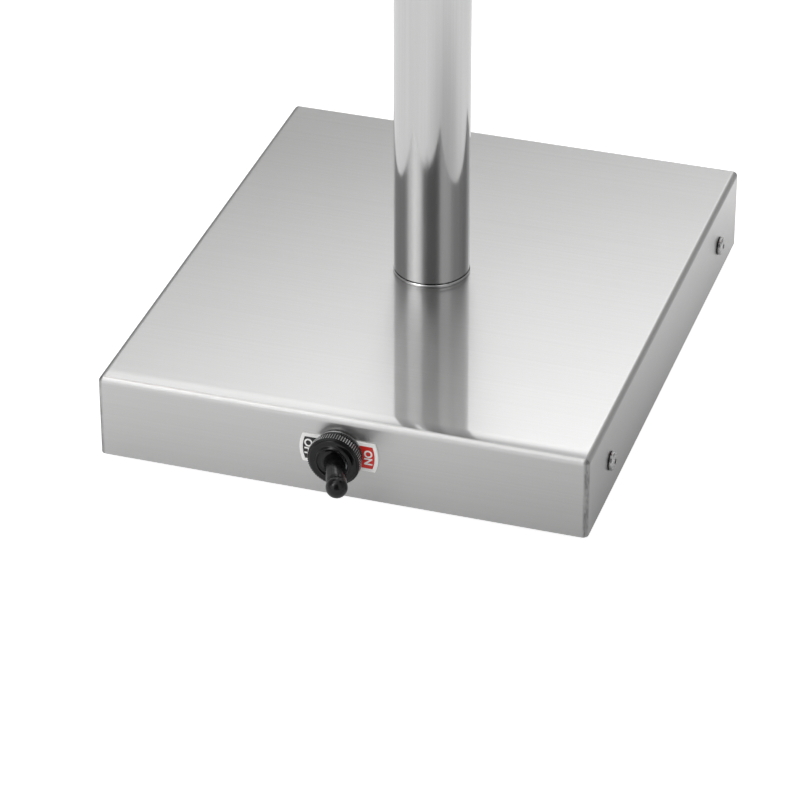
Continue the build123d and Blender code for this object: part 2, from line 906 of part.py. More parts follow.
tilt_spots = [
    placed((sign * (bar_half_length - elbow_groove_inset), 0, bar_height), (1, 0, 0), (0, 0, -1))
    for sign in (-1, 1)
]


def crossbar():
    half = bar_half_length - end_gap
    bar = across(ring(bar_radius, bar_bore, -half, half))
    bar -= disc(bar_wire_radius, bar_height - bar_diameter, bar_height)
    for spot in tilt_spots:
        bar -= spot * disc(tilt_screw_radius + thread_gap, 0, bar_diameter)
    return bar


def tilt_screws():
    tip = bar_bore - run_gap - elbow_groove_depth + end_gap
    screw = pan_head_screw(
        bar_radius - tip,
        tilt_screw_head_radius,
        tilt_screw_head_height,
        tilt_screw_head_crown,
        tilt_screw_radius,
    )
    return group(*[spot * Pos(0, 0, bar_radius) * screw for spot in tilt_spots])


# Lamps; each is made in a frame with Z = 0 on the shade's top

def lamp_elbow(sign):
    spigot_radius = bar_bore - run_gap
    spigot = ring(
        spigot_radius,
        spigot_radius - elbow_spigot_wall,
        bar_half_length - elbow_spigot_length,
        bar_half_length,
    )
    groove_middle = bar_half_length - elbow_groove_inset
    spigot -= ring(
        spigot_radius + cut,
        spigot_radius - elbow_groove_depth,
        groove_middle - elbow_groove_width / 2,
        groove_middle + elbow_groove_width / 2,
    )
    elbow = across(spigot)
    section = Plane.YZ * (Circle(bar_radius) - Circle(bar_radius - elbow_wall))
    centre = (bar_half_length, 0, bar_height - elbow_bend)
    elbow += revolve(Pos(bar_half_length, 0, bar_height) * section, Axis(centre, (0, 1, 0)), 90)
    collar_low = shade_top + elbow_flange_height
    collar = disc(bar_radius, collar_low, bar_height - elbow_bend)
    collar -= disc(bar_radius - elbow_wall, collar_low + elbow_wall, bar_height)
    flange = disc(elbow_flange_radius, shade_top, collar_low)
    flange = fillet(flange.edges().sort_by(Axis.Z)[-1], small_round)
    foot = collar + flange - disc(nipple_radius + thread_gap, shade_top - cut, collar_low + elbow_wall + cut)
    elbow += Pos(lamp_x, 0, 0) * foot
    return elbow if sign > 0 else mirror(elbow, Plane.YZ)


def lamp_nipple():
    return ring(nipple_radius, nipple_bore_radius, holder_top - holder_nipple_depth, nipple_rise)


def lamp_nipple_nut():
    low = -shade_sheet - nipple_nut_height
    nut = hexagon(nipple_nut_flats, low, -shade_sheet)
    return nut - disc(nipple_radius + thread_gap, low - cut, cut)


def lamp_shade():
    outline = [
        (nipple_radius + slip_gap, 0),
        (shade_neck_radius, 0),
        (shade_neck_radius, -shade_neck_height),
        (shade_mouth_radius, shade_skirt_height - shade_height),
        (shade_mouth_radius, shade_bead_radius - shade_height),
    ]
    shade = spun(outline, (shade_top_round, shade_neck_round, shade_skirt_round), shade_sheet)
    bead = Pos(0, 0, shade_bead_radius - shade_height) * Torus(
        shade_mouth_radius - shade_sheet / 2, shade_bead_radius
    )
    vent = extrude(Plane.YZ * SlotOverall(vent_height, vent_width, rotation=90), shade_neck_radius + cut)
    for index in range(vent_count):
        shade -= Rot(0, 0, 360 * (index + 0.5) / vent_count) * Pos(0, 0, -vent_drop) * vent
    return shade + bead


def lamp_holder():
    low = holder_top - holder_height
    holder = disc(holder_boss_radius, holder_top - holder_boss_height, holder_top)
    body = disc(holder_radius, low, holder_top - holder_boss_height)
    holder += fillet(body.edges().filter_by(GeomType.CIRCLE), small_round)
    holder -= disc(nipple_radius + thread_gap, holder_top - holder_thread_depth, holder_top + cut)
    holder -= disc(holder_wire_radius, holder_top - holder_roof - cut, holder_top)
    return holder - disc(holder_cavity_radius, low - cut, holder_top - holder_roof)


def lamp_contact_shell():
    outer = holder_cavity_radius - contact_shell_gap
    shell = disc(outer, contact_roof - contact_shell_length, contact_roof)
    inner = outer - contact_shell_wall
    return shell - disc(inner, contact_roof - contact_shell_length - cut, contact_roof - contact_shell_wall)


def bulb_cap():
    cap = disc(bulb_cap_radius, cap_bottom, cap_top)
    cap -= disc(bulb_cap_radius - bulb_cap_wall, cap_bottom - cut, cap_top - bulb_cap_wall)
    return cap + disc(contact_disc_radius, cap_top, bulb_top)


def bulb():
    neck_radius = bulb_cap_radius - bulb_cap_wall - bulb_neck_gap
    face = bulb_top - bulb_length
    outline = [
        (neck_radius, cap_bottom + bulb_neck_overlap),
        (neck_radius, cap_bottom - bulb_neck_length),
        (bulb_radius, face + bulb_face_sag + bulb_belly_height),
        (bulb_radius, face + bulb_face_sag),
        (bulb_face_flat, face),
        (0, face),
    ]
    rounds = (bulb_neck_round, bulb_belly_round, bulb_rim_round, bulb_face_round)
    return spun(outline, rounds, bulb_glass)


lamp_pieces = {
    "nipple": lamp_nipple,
    "nipple_nut": lamp_nipple_nut,
    "shade": lamp_shade,
    "lamp_holder": lamp_holder,
    "contact_shell": lamp_contact_shell,
    "bulb_cap": bulb_cap,
    "bulb": bulb,
}

nodes = {
    "base_shell": base_shell(),
    "bottom_tray": bottom_tray(),
    "side_screws": side_screws(),
    "clinch_nuts": clinch_nuts(),
    "rubber_feet": rubber_feet(),
    "ballast_plate": ballast_plate(),
    "ballast_screws": ballast_screws(),
    "terminal_block": terminal_block(),
    "terminal_block_screws": terminal_block_screws(),
    "earth_stud": earth_stud(),
    "switch_leads": switch_leads(),
    "lamp_leads": lamp_leads(),
    "switch_body": switch_body(),
    "switch_terminals": switch_terminals(),
    "switch_bushing": switch_bushing(),
    "switch_lever": switch_lever(),
    "switch_lever_pin": switch_lever_pin(),
    "switch_lock_washer": switch_lock_washer(),
    "switch_inner_nut": switch_inner_nut(),
    "legend_plate": legend_plate(),
    "boot_nut": boot_nut(),
    "switch_boot": switch_boot(),
    "gland_body": gland_body(),
    "gland_lock_nut": gland_lock_nut(),
    "gland_dome_nut": gland_dome_nut(),
    "gland_seal": gland_seal(),
    "column_foot": column_foot(),
    "column_tube": column_tube(),
    "column_backing_plate": column_backing_plate(),
    "column_washer": column_washer(),
    "column_nut": column_nut(),
    "column_bush": column_bush(),
    "clamp_collar": clamp_collar(),
    "clamp_pad": clamp_pad(),
    "clamp_stud": clamp_stud(),
    "clamp_knob": clamp_knob(),
    "mast_guide": mast_guide(),
    "mast_rings": mast_rings(),
    "mast_tube": mast_tube(),
    "tee_block": tee_block(),
    "tee_screws": tee_screws(),
    "crossbar": crossbar(),
    "tilt_screws": tilt_screws(),
}
for prefix, sign in (("left", -1), ("right", 1)):
    nodes[prefix + "_elbow"] = lamp_elbow(sign)
    for piece, make in lamp_pieces.items():
        nodes[prefix + "_" + piece] = Pos(sign * lamp_x, 0, shade_top) * make()

os.makedirs("parts", exist_ok=True)
for name, shape in nodes.items():
    export_step(group(shape), "parts/" + name + ".step")
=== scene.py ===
import json
import math

import bmesh
import bpy
import numpy as np
from mathutils import Matrix, Vector


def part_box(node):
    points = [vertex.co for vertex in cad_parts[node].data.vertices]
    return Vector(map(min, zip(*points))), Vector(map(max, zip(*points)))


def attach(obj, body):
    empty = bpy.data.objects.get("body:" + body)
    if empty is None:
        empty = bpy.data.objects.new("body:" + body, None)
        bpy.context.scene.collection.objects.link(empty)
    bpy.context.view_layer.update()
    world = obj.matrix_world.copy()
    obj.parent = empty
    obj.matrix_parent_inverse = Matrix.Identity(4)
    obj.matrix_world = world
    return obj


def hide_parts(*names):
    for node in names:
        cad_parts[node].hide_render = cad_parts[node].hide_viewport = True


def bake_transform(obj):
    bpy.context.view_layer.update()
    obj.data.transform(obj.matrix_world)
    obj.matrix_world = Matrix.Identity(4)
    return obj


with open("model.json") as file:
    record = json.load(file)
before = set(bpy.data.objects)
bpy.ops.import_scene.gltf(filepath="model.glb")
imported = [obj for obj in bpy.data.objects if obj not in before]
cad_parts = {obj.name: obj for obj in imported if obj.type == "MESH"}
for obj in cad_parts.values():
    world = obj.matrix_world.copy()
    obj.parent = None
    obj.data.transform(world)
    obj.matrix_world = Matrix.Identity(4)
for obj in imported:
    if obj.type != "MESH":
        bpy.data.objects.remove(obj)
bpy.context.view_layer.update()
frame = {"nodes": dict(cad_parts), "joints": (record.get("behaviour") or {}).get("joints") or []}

bl_info = {
    "name": "Food heat lamp",
    "version": (1, 0, 0),
    "blender": (4, 5, 0),
    "location": "View3D > Sidebar > Heat lamp",
    "description": "Finishes, rubber boot, printed legend and studio for the food heat lamp",
    "category": "Object",
}

MM = 0.001
SAME_PLACE = 1e-7
SOFT_EDGE = math.radians(40)

# Tones of the brushed steel, as shares of its plain colour: its grain and filed seams, then painted
# shade before the front bend, painted highlights on the bends and painted shade on the left bend
GRAIN_TONES = (0.97, 1.03)
SEAM_TONES = (0.25, 0.80)
PAINTED_STRIP_SHADE_TONE = 0.45
PAINTED_BEND_HIGHLIGHT_TONE = 1.4
PAINTED_LEFT_HIGHLIGHT_TONE = 2.0
PAINTED_LEFT_BEND_SHADE_TONE = 0.55

# Cosines between a face's normal and an axis: where the sheet counts as bent, as flat and as a side
BENT_FACE = 0.90
STRIP_FACE = 0.93
FLAT_FACE = 0.998
SIDE_FACE = (0.60, 0.80)
UPPER_BEND = (0.75, 0.92)

# Products of two such cosines: none on a flat face, a half in the middle of a bend
FRONT_SLANT = (0.0, 0.20)
SIDE_SLANT = (0.05, 0.30)

# Waves per metre along and across the brushed lines
ALONG_GRAIN = 4.0
ACROSS_GRAIN = 6500.0

BOOT_SEGMENTS = 96
BULB_SEGMENTS = 96

# Places read from the frame
shell_low, shell_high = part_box("base_shell")
legend_low, legend_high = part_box("legend_plate")
nut_low, nut_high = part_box("boot_nut")
boot_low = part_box("switch_boot")[0]
throw = next(joint for joint in frame["joints"] if joint["name"] == "toggle_throw")
front = shell_low.y
switch_origin = np.array([(legend_low.x + legend_high.x) / 2, front, (legend_low.z + legend_high.z) / 2])
nut_face = front - nut_low.y
legend_face = front - legend_low.y
lever_pivot = np.array(throw["pos_m"], float)
lever_tilt = math.radians(-throw["range_deg"][0] / 2)
pivot_depth = front - lever_pivot[1]

# Rows are the local axes of the switch and of its lever, with local Z outwards
switch_axes = np.array([[1, 0, 0], [0, 0, 1], [0, -1, 0]], float)
lever_axes = np.array(
    [
        [math.cos(lever_tilt), math.sin(lever_tilt), 0],
        [0, 0, 1],
        [math.sin(lever_tilt), -math.cos(lever_tilt), 0],
    ]
)


def length(name, description, default):
    """Length in metres that a user can change."""
    return bpy.props.FloatProperty(
        name=name, description=description, default=default, min=0.0, precision=5, unit="LENGTH"
    )


def share(name, description, default):
    """Share from none to all."""
    return bpy.props.FloatProperty(
        name=name, description=description, default=default, min=0.0, max=1.0, subtype="FACTOR"
    )


def amount(name, description, default):
    """Plain number that can pass one."""
    return bpy.props.FloatProperty(name=name, description=description, default=default, min=0.0)


def turn(name, description, default):
    """Angle, given in degrees and kept in radians."""
    return bpy.props.FloatProperty(
        name=name, description=description, default=math.radians(default), subtype="ANGLE"
    )


def colour(name, description, default):
    """Linear colour."""
    return bpy.props.FloatVectorProperty(
        name=name, description=description, default=default, size=3, min=0.0, max=1.0, subtype="COLOR"
    )


class HeatLampMetal(bpy.types.PropertyGroup):
    """Finishes of the metal parts."""

    steel: colour("Brushed steel", "Sheet steel of the base", (0.48, 0.48, 0.477))
    steel_gloss: share("Brushed roughness", "Roughness of the brushed lines", 0.34)
    flat_gloss: share("Flat roughness", "Roughness of the flats between the lines", 0.05)
    side_gloss: share("Side roughness", "The same on the upright faces and where the sheet is bent", 0.35)
    flat_index: amount("Flat index", "How strongly the flats between the lines mirror", 2.2)
    brush: share("Brush direction", "How far the brushing stretches reflections", 0.5)
    grain_depth: length("Grain depth", "Depth of the brushed lines", 0.015 * MM)
    bend_radius: length("Bend radius", "Outer radius of the folded edges", 2.4 * MM)
    bow_width: length("Bow width", "Strip of the top that bows towards the front bend", 6.0 * MM)
    bow_left: length("Left bow", "How far the bow drops at the left", 0.08 * MM)
    bow_right: length("Right bow", "How far the bow drops at the right", 0.27 * MM)
    polished: colour("Polished steel", "Column, mast and crossbar", (0.58, 0.58, 0.58))
    polished_gloss: share("Polished roughness", "Roughness of the polished tubes", 0.12)
    aluminium: colour("Cast aluminium", "Tee, elbows and clamp collar", (0.55, 0.55, 0.56))
    spun: colour("Spun aluminium", "Lamp shades", (0.60, 0.60, 0.61))
    zinc: colour("Zinc plate", "Tray, nuts and washers", (0.52, 0.53, 0.55))
    brass: colour("Brass", "Contacts, nipples and studs", (0.70, 0.50, 0.20))


class HeatLampSwitch(bpy.types.PropertyGroup):
    """Rubber boot and printed legend of the switch."""

    rubber: colour("Rubber", "Boot, feet and cable seal", (0.0035, 0.0035, 0.004))
    lip_radius: length("Lip radius", "Rim of the boot on its nut", 9.6 * MM)
    lip_rise: length("Lip rise", "Height of the boot's flat above the nut", 0.6 * MM)
    crest_radius: length("Crest radius", "Ring around the lever", 6.6 * MM)
    crest_rise: length("Crest rise", "Height of the ring above the nut", 1.45 * MM)
    valley_drop: length("Valley drop", "Depth of the fold below the nut's face", 0.3 * MM)
    root_radius: length("Root radius", "Sleeve where it leaves the fold", 4.35 * MM)
    sleeve_radius: length("Sleeve radius", "Sleeve along the lever", 4.0 * MM)
    waist_radius: length("Waist radius", "Sleeve just below its tip", 3.8 * MM)
    tip_radius: length("Tip radius", "Ball at the sleeve's end", 4.3 * MM)
    ridge_count: bpy.props.IntProperty(
        name="Ridges", description="Soft ridges along the sleeve", default=7, min=0
    )
    ridge_height: length("Ridge height", "How far the ridges stand out", 0.05 * MM)
    rubber_wall: length("Rubber wall", "Thickness of the fold", 0.5 * MM)
    legend_border: length("Legend border", "White rim round each printed field", 1.4 * MM)
    print_height: length("Print height", "Thickness of the printed fields", 0.03 * MM)
    letter_height: length("Letter height", "Height of the letters", 3.4 * MM)
    off_length: length("OFF length", "Length of the word on the left", 8.1 * MM)
    on_length: length("ON length", "Length of the word on the right", 6.6 * MM)
    off_colour: colour("OFF field", "Field behind the left word", (0.012, 0.012, 0.013))
    on_colour: colour("ON field", "Field behind the right word", (0.70, 0.020, 0.012))
    legend_white: colour("Legend white", "Rim and letters", (0.97, 0.97, 0.96))


class HeatLampHead(bpy.types.PropertyGroup):
    """Bulbs and their holders."""

    glass: colour("Bulb glass", "Tinted glass of the infrared bulbs", (0.85, 0.10, 0.05))
    glaze: colour("Glaze", "Glazed lamp holders", (0.80, 0.79, 0.75))
    lining_gap: length("Lining gap", "Between the glass and its mirror lining", 2.2 * MM)
    lining_wall: length("Lining wall", "Thickness of the mirror lining", 0.3 * MM)


class HeatLampStage(bpy.types.PropertyGroup):
    """Floor, studio and camera."""

    floor: colour("Floor", "Plain pale floor", (0.60, 0.60, 0.60))
    floor_glow: amount("Floor glow", "Light that the floor gives to the camera", 0.90)
    floor_bounce: amount("Floor bounce", "Light that the floor gives to the lamp", 0.48)
    floor_shade: amount("Floor shade", "The same light at the front right corner", 0.13)
    shade_reach: length("Shade reach", "Distance from that corner to the floor's full light", 0.24)
    shade_right: length("Shade right", "How far right of the base the darkest floor lies", 0.06)
    shade_back: length("Shade back", "How far behind the base's front the darkest floor lies", 0.02)
    contact_shade: share("Contact shade", "Share of that light lost beside the base", 0.40)
    contact_reach: length("Contact reach", "How far that loss reaches from the base", 0.07)
    floor_half: length("Floor half width", "Half the floor's width", 6.0)
    studio: amount("Studio light", "Brightness of the studio's walls and lamps", 1.55)
    lens: bpy.props.FloatProperty(
        name="Lens", description="Focal length", default=180.18, min=1.0, unit="CAMERA"
    )
    sensor: bpy.props.FloatProperty(
        name="Sensor", description="Sensor width", default=36.0, min=1.0, unit="CAMERA"
    )
    camera_place: bpy.props.FloatVectorProperty(
        name="Camera", description="Where the camera stands", default=(0.41935, -1.35247, 0.86676),
        size=3, unit="LENGTH", subtype="TRANSLATION",
    )
    camera_yaw: turn("Yaw", "Turn of the camera to the left of the back", 17.753)
    camera_pitch: turn("Pitch", "How far the camera looks down", 32.180)
    camera_roll: turn("Roll", "Turn about the line of sight", 0.05)


# Surfaces

def smooth_line(points, steps):
    """Catmull-Rom line through the points: each span is a cubic whose slope at a point
    is half the step between that point's neighbours."""
    points = np.asarray(points, float)
    padded = np.vstack([2 * points[0] - points[1], points, 2 * points[-1] - points[-2]])
    spans = len(points) - 1
    a, b, c, d = (padded[index:index + spans, None] for index in range(4))
    t = np.linspace(0, 1, steps, endpoint=False)[:, None]
    cubic = 2 * b + (c - a) * t + (2 * a - 5 * b + 4 * c - d) * t**2 + (3 * b - a - 3 * c + d) * t**3
    return np.vstack([cubic.reshape(-1, points.shape[1]) / 2, points[-1:]])


def smooth_step(value):
    """Cubic that leaves 0 and reaches 1 with no slope."""
    t = np.clip(value, 0, 1)
    return t * t * (3 - 2 * t)


def turned_rings(profile, segments):
    """Each (radius, level) of a profile carried once round local Z: radius times the cosine and
    sine of the angle, and the level."""
    angle = np.linspace(0, 2 * math.pi, segments, endpoint=False)
    radius = profile[:, :1]
    level = np.repeat(profile[:, 1:], segments, axis=1)
    return np.stack([radius * np.cos(angle), radius * np.sin(angle), level], axis=-1)


def in_switch(rings):
    """Points of the switch's own frame in the row frame."""
    return rings @ switch_axes + switch_origin


def in_lever(rings):
    """Points of the lever's own frame in the row frame."""
    return rings @ lever_axes + lever_pivot


def ring_mesh(name, rings, loop=False, caps=False):
    """Closed mesh of quads between neighbouring rings. A loop joins its last ring to its first;
    caps close the end rings with one face each."""
    rows, columns = rings.shape[:2]
    index = np.arange(rows * columns).reshape(rows, columns)
    ends = [index[0].tolist(), index[-1].tolist()] if caps else []
    if loop:
        index = np.vstack([index, index[:1]])
    low, high = index[:-1], index[1:]
    quads = np.stack([low, np.roll(low, -1, 1), np.roll(high, -1, 1), high], axis=-1)
    mesh = bpy.data.meshes.new(name)
    mesh.from_pydata(rings.reshape(-1, 3).tolist(), [], quads.reshape(-1, 4).tolist() + ends)
    return finished_object(name, mesh)


def finished_object(name, mesh):
    """Object at the origin with merged doubles, outward faces and smooth shading over soft edges."""
    shape = bmesh.new()
    shape.from_mesh(mesh)
    bmesh.ops.remove_doubles(shape, verts=shape.verts, dist=SAME_PLACE)
    bmesh.ops.recalc_face_normals(shape, faces=shape.faces)
    shape.to_mesh(mesh)
    shape.free()
    mesh.shade_smooth()
    mesh.set_sharp_from_angle(angle=SOFT_EDGE)
    piece = bpy.data.objects.new(name, mesh)
    bpy.context.scene.collection.objects.link(piece)
    return piece


# Shader nodes

def put(tree, kind, inputs=None, **settings):
    """Node with its settings, joined to sockets or given values."""
    node = tree.nodes.new(kind)
    for name, value in settings.items():
        setattr(node, name, value)
    for key, value in (inputs or {}).items():
        if isinstance(value, bpy.types.NodeSocket):
            tree.links.new(value, node.inputs[key])
        else:
            node.inputs[key].default_value = value
    return node


def calc(tree, operation, *values):
    """Result of a sum on numbers."""
    return put(tree, "ShaderNodeMath", dict(enumerate(values)), operation=operation).outputs[0]


def vector_calc(tree, operation, *values):
    """Result of a sum on vectors."""
    return put(tree, "ShaderNodeVectorMath", dict(enumerate(values)), operation=operation).outputs[0]


def span(tree, value, low, high, start=0.0, end=1.0, kind="SMOOTHSTEP"):
    """Value carried from the range low to high onto start to end."""
    inputs = {"Value": value, "From Min": low, "From Max": high, "To Min": start, "To Max": end}
    return put(tree, "ShaderNodeMapRange", inputs, interpolation_type=kind).outputs[0]


def blend_colour(tree, factor, first, second):
    """Colour between two by a factor."""
    node = put(tree, "ShaderNodeMix", {0: factor}, data_type="RGBA")
    for socket, value in ((node.inputs[6], first), (node.inputs[7], second)):
        if isinstance(value, bpy.types.NodeSocket):
            tree.links.new(value, socket)
        else:
            socket.default_value = (*value, 1.0)
    return node.outputs[2]


def blend_vector(tree, factor, first, second):
    """Vector between two by a factor."""
    return put(tree, "ShaderNodeMix", {0: factor, 4: first, 5: second}, data_type="VECTOR").outputs[1]


def tone_between(tree, factor, base, tones):
    """Colour between two tones of a base colour."""
    return blend_colour(tree, factor, *(shaded(base, tone) for tone in tones))


def shaded(base, factor):
    """Colour made lighter or darker."""
    return tuple(min(1.0, channel * factor) for channel in base)


def object_place(tree):
    """Place on the piece in its own coordinates."""
    return put(tree, "ShaderNodeTexCoord").outputs["Object"]


def split(tree, vector):
    """The three numbers of a vector."""
    return put(tree, "ShaderNodeSeparateXYZ", {0: vector}).outputs


def node_group(name, inputs, outputs, fill):
    """Shader node group with named sockets, made once."""
    found = bpy.data.node_groups.get(name)
    if found:
        return found
    tree = bpy.data.node_groups.new(name, "ShaderNodeTree")
    for socket, kind in inputs:
        tree.interface.new_socket(name=socket, in_out="INPUT", socket_type=kind)
    for socket, kind in outputs:
        tree.interface.new_socket(name=socket, in_out="OUTPUT", socket_type=kind)
    entry = tree.nodes.new("NodeGroupInput")
    leave = tree.nodes.new("NodeGroupOutput")
    fill(tree, entry.outputs, leave.inputs)
    return tree


def use_group(tree, group, inputs):
    """The group placed in a material with its own values."""
    return put(tree, "ShaderNodeGroup", inputs, node_tree=group).outputs


def drawn_grain():
    """Streaks of brushing or drawing: two noises stretched by a vector of frequencies."""

    def fill(tree, entry, leave):
        coarseness = 0.23
        place = vector_calc(tree, "MULTIPLY", entry["Vector"], entry["Stretch"])
        fine = put(tree, "ShaderNodeTexNoise", {"Vector": place, "Scale": 1.0, "Detail": 3.0})
        coarse_place = vector_calc(tree, "MULTIPLY", place, (coarseness, coarseness, coarseness))
        coarse = put(tree, "ShaderNodeTexNoise", {"Vector": coarse_place, "Scale": 1.0, "Detail": 2.0})
        total = calc(tree, "ADD", fine.outputs[0], coarse.outputs[0])
        streak = span(tree, total, 0.7, 1.3)
        tree.links.new(streak, leave["Streak"])
        tree.links.new(fine.outputs[0], leave["Height"])

    return node_group(
        "Drawn grain",
        [("Vector", "NodeSocketVector"), ("Stretch", "NodeSocketVector")],
        [("Streak", "NodeSocketFloat"), ("Height", "NodeSocketFloat")],
        fill,
    )


def handling_marks():
    """Faint cloudy smears, as cleaning and handling leave them."""

    def fill(tree, entry, leave):
        noise = put(
            tree, "ShaderNodeTexNoise",
            {"Vector": entry["Vector"], "Scale": entry["Scale"], "Detail": 4.0, "Distortion": 0.6},
        )
        tree.links.new(span(tree, noise.outputs[0], 0.42, 0.66), leave["Mask"])

    return node_group(
        "Handling marks",
        [("Vector", "NodeSocketVector"), ("Scale", "NodeSocketFloat")],
        [("Mask", "NodeSocketFloat")],
        fill,
    )


def moulded_skin():
    """Fine pitted skin of moulded plastic, rubber or a casting."""

    def fill(tree, entry, leave):
        noise = put(
            tree, "ShaderNodeTexNoise",
            {"Vector": entry["Vector"], "Scale": entry["Scale"], "Detail": 5.0, "Roughness": 0.6},
        )
        cells = put(tree, "ShaderNodeTexVoronoi", {"Vector": entry["Vector"], "Scale": entry["Scale"]})
        height = calc(tree, "MULTIPLY_ADD", cells.outputs["Distance"], 0.3, noise.outputs[0])
        tree.links.new(height, leave["Height"])
        tree.links.new(span(tree, noise.outputs[0], 0.35, 0.65), leave["Speckle"])

    return node_group(
        "Moulded skin",
        [("Vector", "NodeSocketVector"), ("Scale", "NodeSocketFloat")],
        [("Height", "NodeSocketFloat"), ("Speckle", "NodeSocketFloat")],
        fill,
    )


def fresh_material(name, **values):
    """Material with only its Principled BSDF, whose sockets get these plain values."""
    material = bpy.data.materials.new(name)
    material.use_nodes = True
    shader = material.node_tree.nodes["Principled BSDF"]
    for socket, value in values.items():
        shader.inputs[socket.replace("_", " ")].default_value = value
    return material, material.node_tree, shader


def bump(tree, shader, height, distance, socket="Normal"):
    """Raises the surface's shading by a height."""
    inputs = {"Height": height, "Distance": distance, "Strength": 1.0}
    tree.links.new(put(tree, "ShaderNodeBump", inputs).outputs[0], shader.inputs[socket])


def weld_seams(tree, metal, x, y):
    """Mask of the upright corners: past the start of the bend along the width and along the depth."""
    past = [
        span(tree, calc(tree, "ABSOLUTE", place), edge - metal.bend_radius, edge - metal.bend_radius / 2)
        for place, edge in ((x, shell_high.x), (y, shell_high.y))
    ]
    return calc(tree, "MULTIPLY", *past)


def bowed_strip(tree, metal, x, y):
    """Strip of the top before the front bend: a mask that rises to one at the bend, and the bow's
    height, which falls with the mask's square and falls further to the right."""
    start = front + metal.bend_radius
    strip = span(tree, y, start, start + metal.bow_width, 1.0, 0.0, "LINEAR")
    drop = span(tree, x, shell_low.x, shell_high.x, -metal.bow_left, -metal.bow_right, "LINEAR")
    return strip, calc(tree, "MULTIPLY", calc(tree, "MULTIPLY", strip, strip), drop)


def sheet_colour(tree, metal, place, faces, streak, strip, side_bend):
    """Steel with its grain, painted shade at the right of the bowed strip, a painted highlight on the
    front and rear bends that is stronger on their upper part to the left, painted shade on the left bend
    and filed at the seams."""
    x, y, _ = split(tree, place)
    inwards, upwards = faces
    steel = metal.steel
    leftward = span(tree, x, shell_low.x, shell_high.x, 1.0, 0.0)
    rightward = calc(tree, "SUBTRACT", 1.0, leftward)
    plain = tone_between(tree, streak, steel, GRAIN_TONES)
    top_strip = calc(tree, "MULTIPLY", strip, span(tree, upwards, STRIP_FACE, FLAT_FACE))
    # Painted shade: darker steel on the right of the strip before the front bend
    painted_strip_shade_part = calc(tree, "MULTIPLY", top_strip, rightward)
    painted_strip_shade = blend_colour(tree, painted_strip_shade_part, plain, shaded(steel, PAINTED_STRIP_SHADE_TONE))
    slant = calc(tree, "MULTIPLY", inwards, upwards)
    # Painted highlight: lighter steel on the front and rear bends, strongest halfway round them
    painted_bend_highlight = blend_colour(tree, slant, painted_strip_shade, shaded(steel, PAINTED_BEND_HIGHLIGHT_TONE))
    # Painted highlight: lighter still on the upper part of those bends towards the left
    upper_bend = calc(tree, "MULTIPLY", span(tree, slant, *FRONT_SLANT), span(tree, upwards, *UPPER_BEND))
    painted_left_highlight_part = calc(tree, "MULTIPLY", upper_bend, leftward)
    painted_left_highlight = blend_colour(tree, painted_left_highlight_part, painted_bend_highlight, shaded(steel, PAINTED_LEFT_HIGHLIGHT_TONE))
    # Painted shade: darker steel on the left bend
    left_bend_shade_mask = calc(tree, "MULTIPLY", side_bend, leftward)
    painted_left_bend_shade = blend_colour(tree, left_bend_shade_mask, painted_left_highlight, shaded(steel, PAINTED_LEFT_BEND_SHADE_TONE))
    lines = use_group(tree, drawn_grain(), {"Vector": place, "Stretch": (1500.0, 1500.0, 350.0)})
    filed = tone_between(tree, lines["Streak"], steel, SEAM_TONES)
    return blend_colour(tree, weld_seams(tree, metal, x, y), painted_left_bend_shade, filed)


def brushed_sheet(metal):
    """Brushed stainless sheet: grain along the width on the top, front and back and along the depth
    on the sides, flats between the lines that mirror sharply, duller bends and a bow before the
    front bend."""
    material, tree, shader = fresh_material(
        "brushed_sheet", Metallic=1.0, Anisotropic=metal.brush, Coat_IOR=metal.flat_index
    )
    place = object_place(tree)
    x, y, _ = split(tree, place)
    normal = put(tree, "ShaderNodeNewGeometry").outputs["Normal"]
    sideways, inwards, upwards = (calc(tree, "ABSOLUTE", part) for part in split(tree, normal))
    on_side = span(tree, sideways, *SIDE_FACE)
    along_width = (ALONG_GRAIN, ACROSS_GRAIN, ACROSS_GRAIN)
    along_depth = (ACROSS_GRAIN, ALONG_GRAIN, ACROSS_GRAIN)
    stretch = blend_vector(tree, on_side, along_width, along_depth)
    grain = use_group(tree, drawn_grain(), {"Vector": place, "Stretch": stretch})
    marks = use_group(tree, handling_marks(), {"Vector": place, "Scale": 22.0})
    strip, bow = bowed_strip(tree, metal, x, y)
    side_bend = span(tree, calc(tree, "MULTIPLY", sideways, upwards), *SIDE_SLANT)
    tone = sheet_colour(tree, metal, place, (inwards, upwards), grain["Streak"], strip, side_bend)
    tree.links.new(tone, shader.inputs["Base Color"])
    gloss, spread, smear, bend_loss = metal.steel_gloss, 0.005, 0.01, 0.25
    rough = span(tree, grain["Streak"], 0.0, 1.0, gloss - spread, gloss + spread)
    smeared = calc(tree, "MULTIPLY_ADD", marks["Mask"], smear, rough)
    flat = calc(tree, "MAXIMUM", calc(tree, "MAXIMUM", sideways, inwards), upwards)
    bent = span(tree, flat, BENT_FACE, FLAT_FACE, bend_loss, 0.0)
    tree.links.new(calc(tree, "ADD", smeared, bent), shader.inputs["Roughness"])
    sheen = span(tree, upwards, BENT_FACE, FLAT_FACE, metal.side_gloss, metal.flat_gloss)
    tree.links.new(sheen, shader.inputs["Coat Roughness"])
    tree.links.new(calc(tree, "SUBTRACT", 1.0, side_bend), shader.inputs["Coat Weight"])
    bump(tree, shader, calc(tree, "MULTIPLY_ADD", grain["Height"], metal.grain_depth, bow), 1.0)
    bump(tree, shader, bow, 1.0, "Coat Normal")
    across = blend_vector(tree, on_side, (1.0, 0.0, 0.0), (0.0, 1.0, 0.0))
    tree.links.new(vector_calc(tree, "CROSS_PRODUCT", normal, across), shader.inputs["Tangent"])
    return material


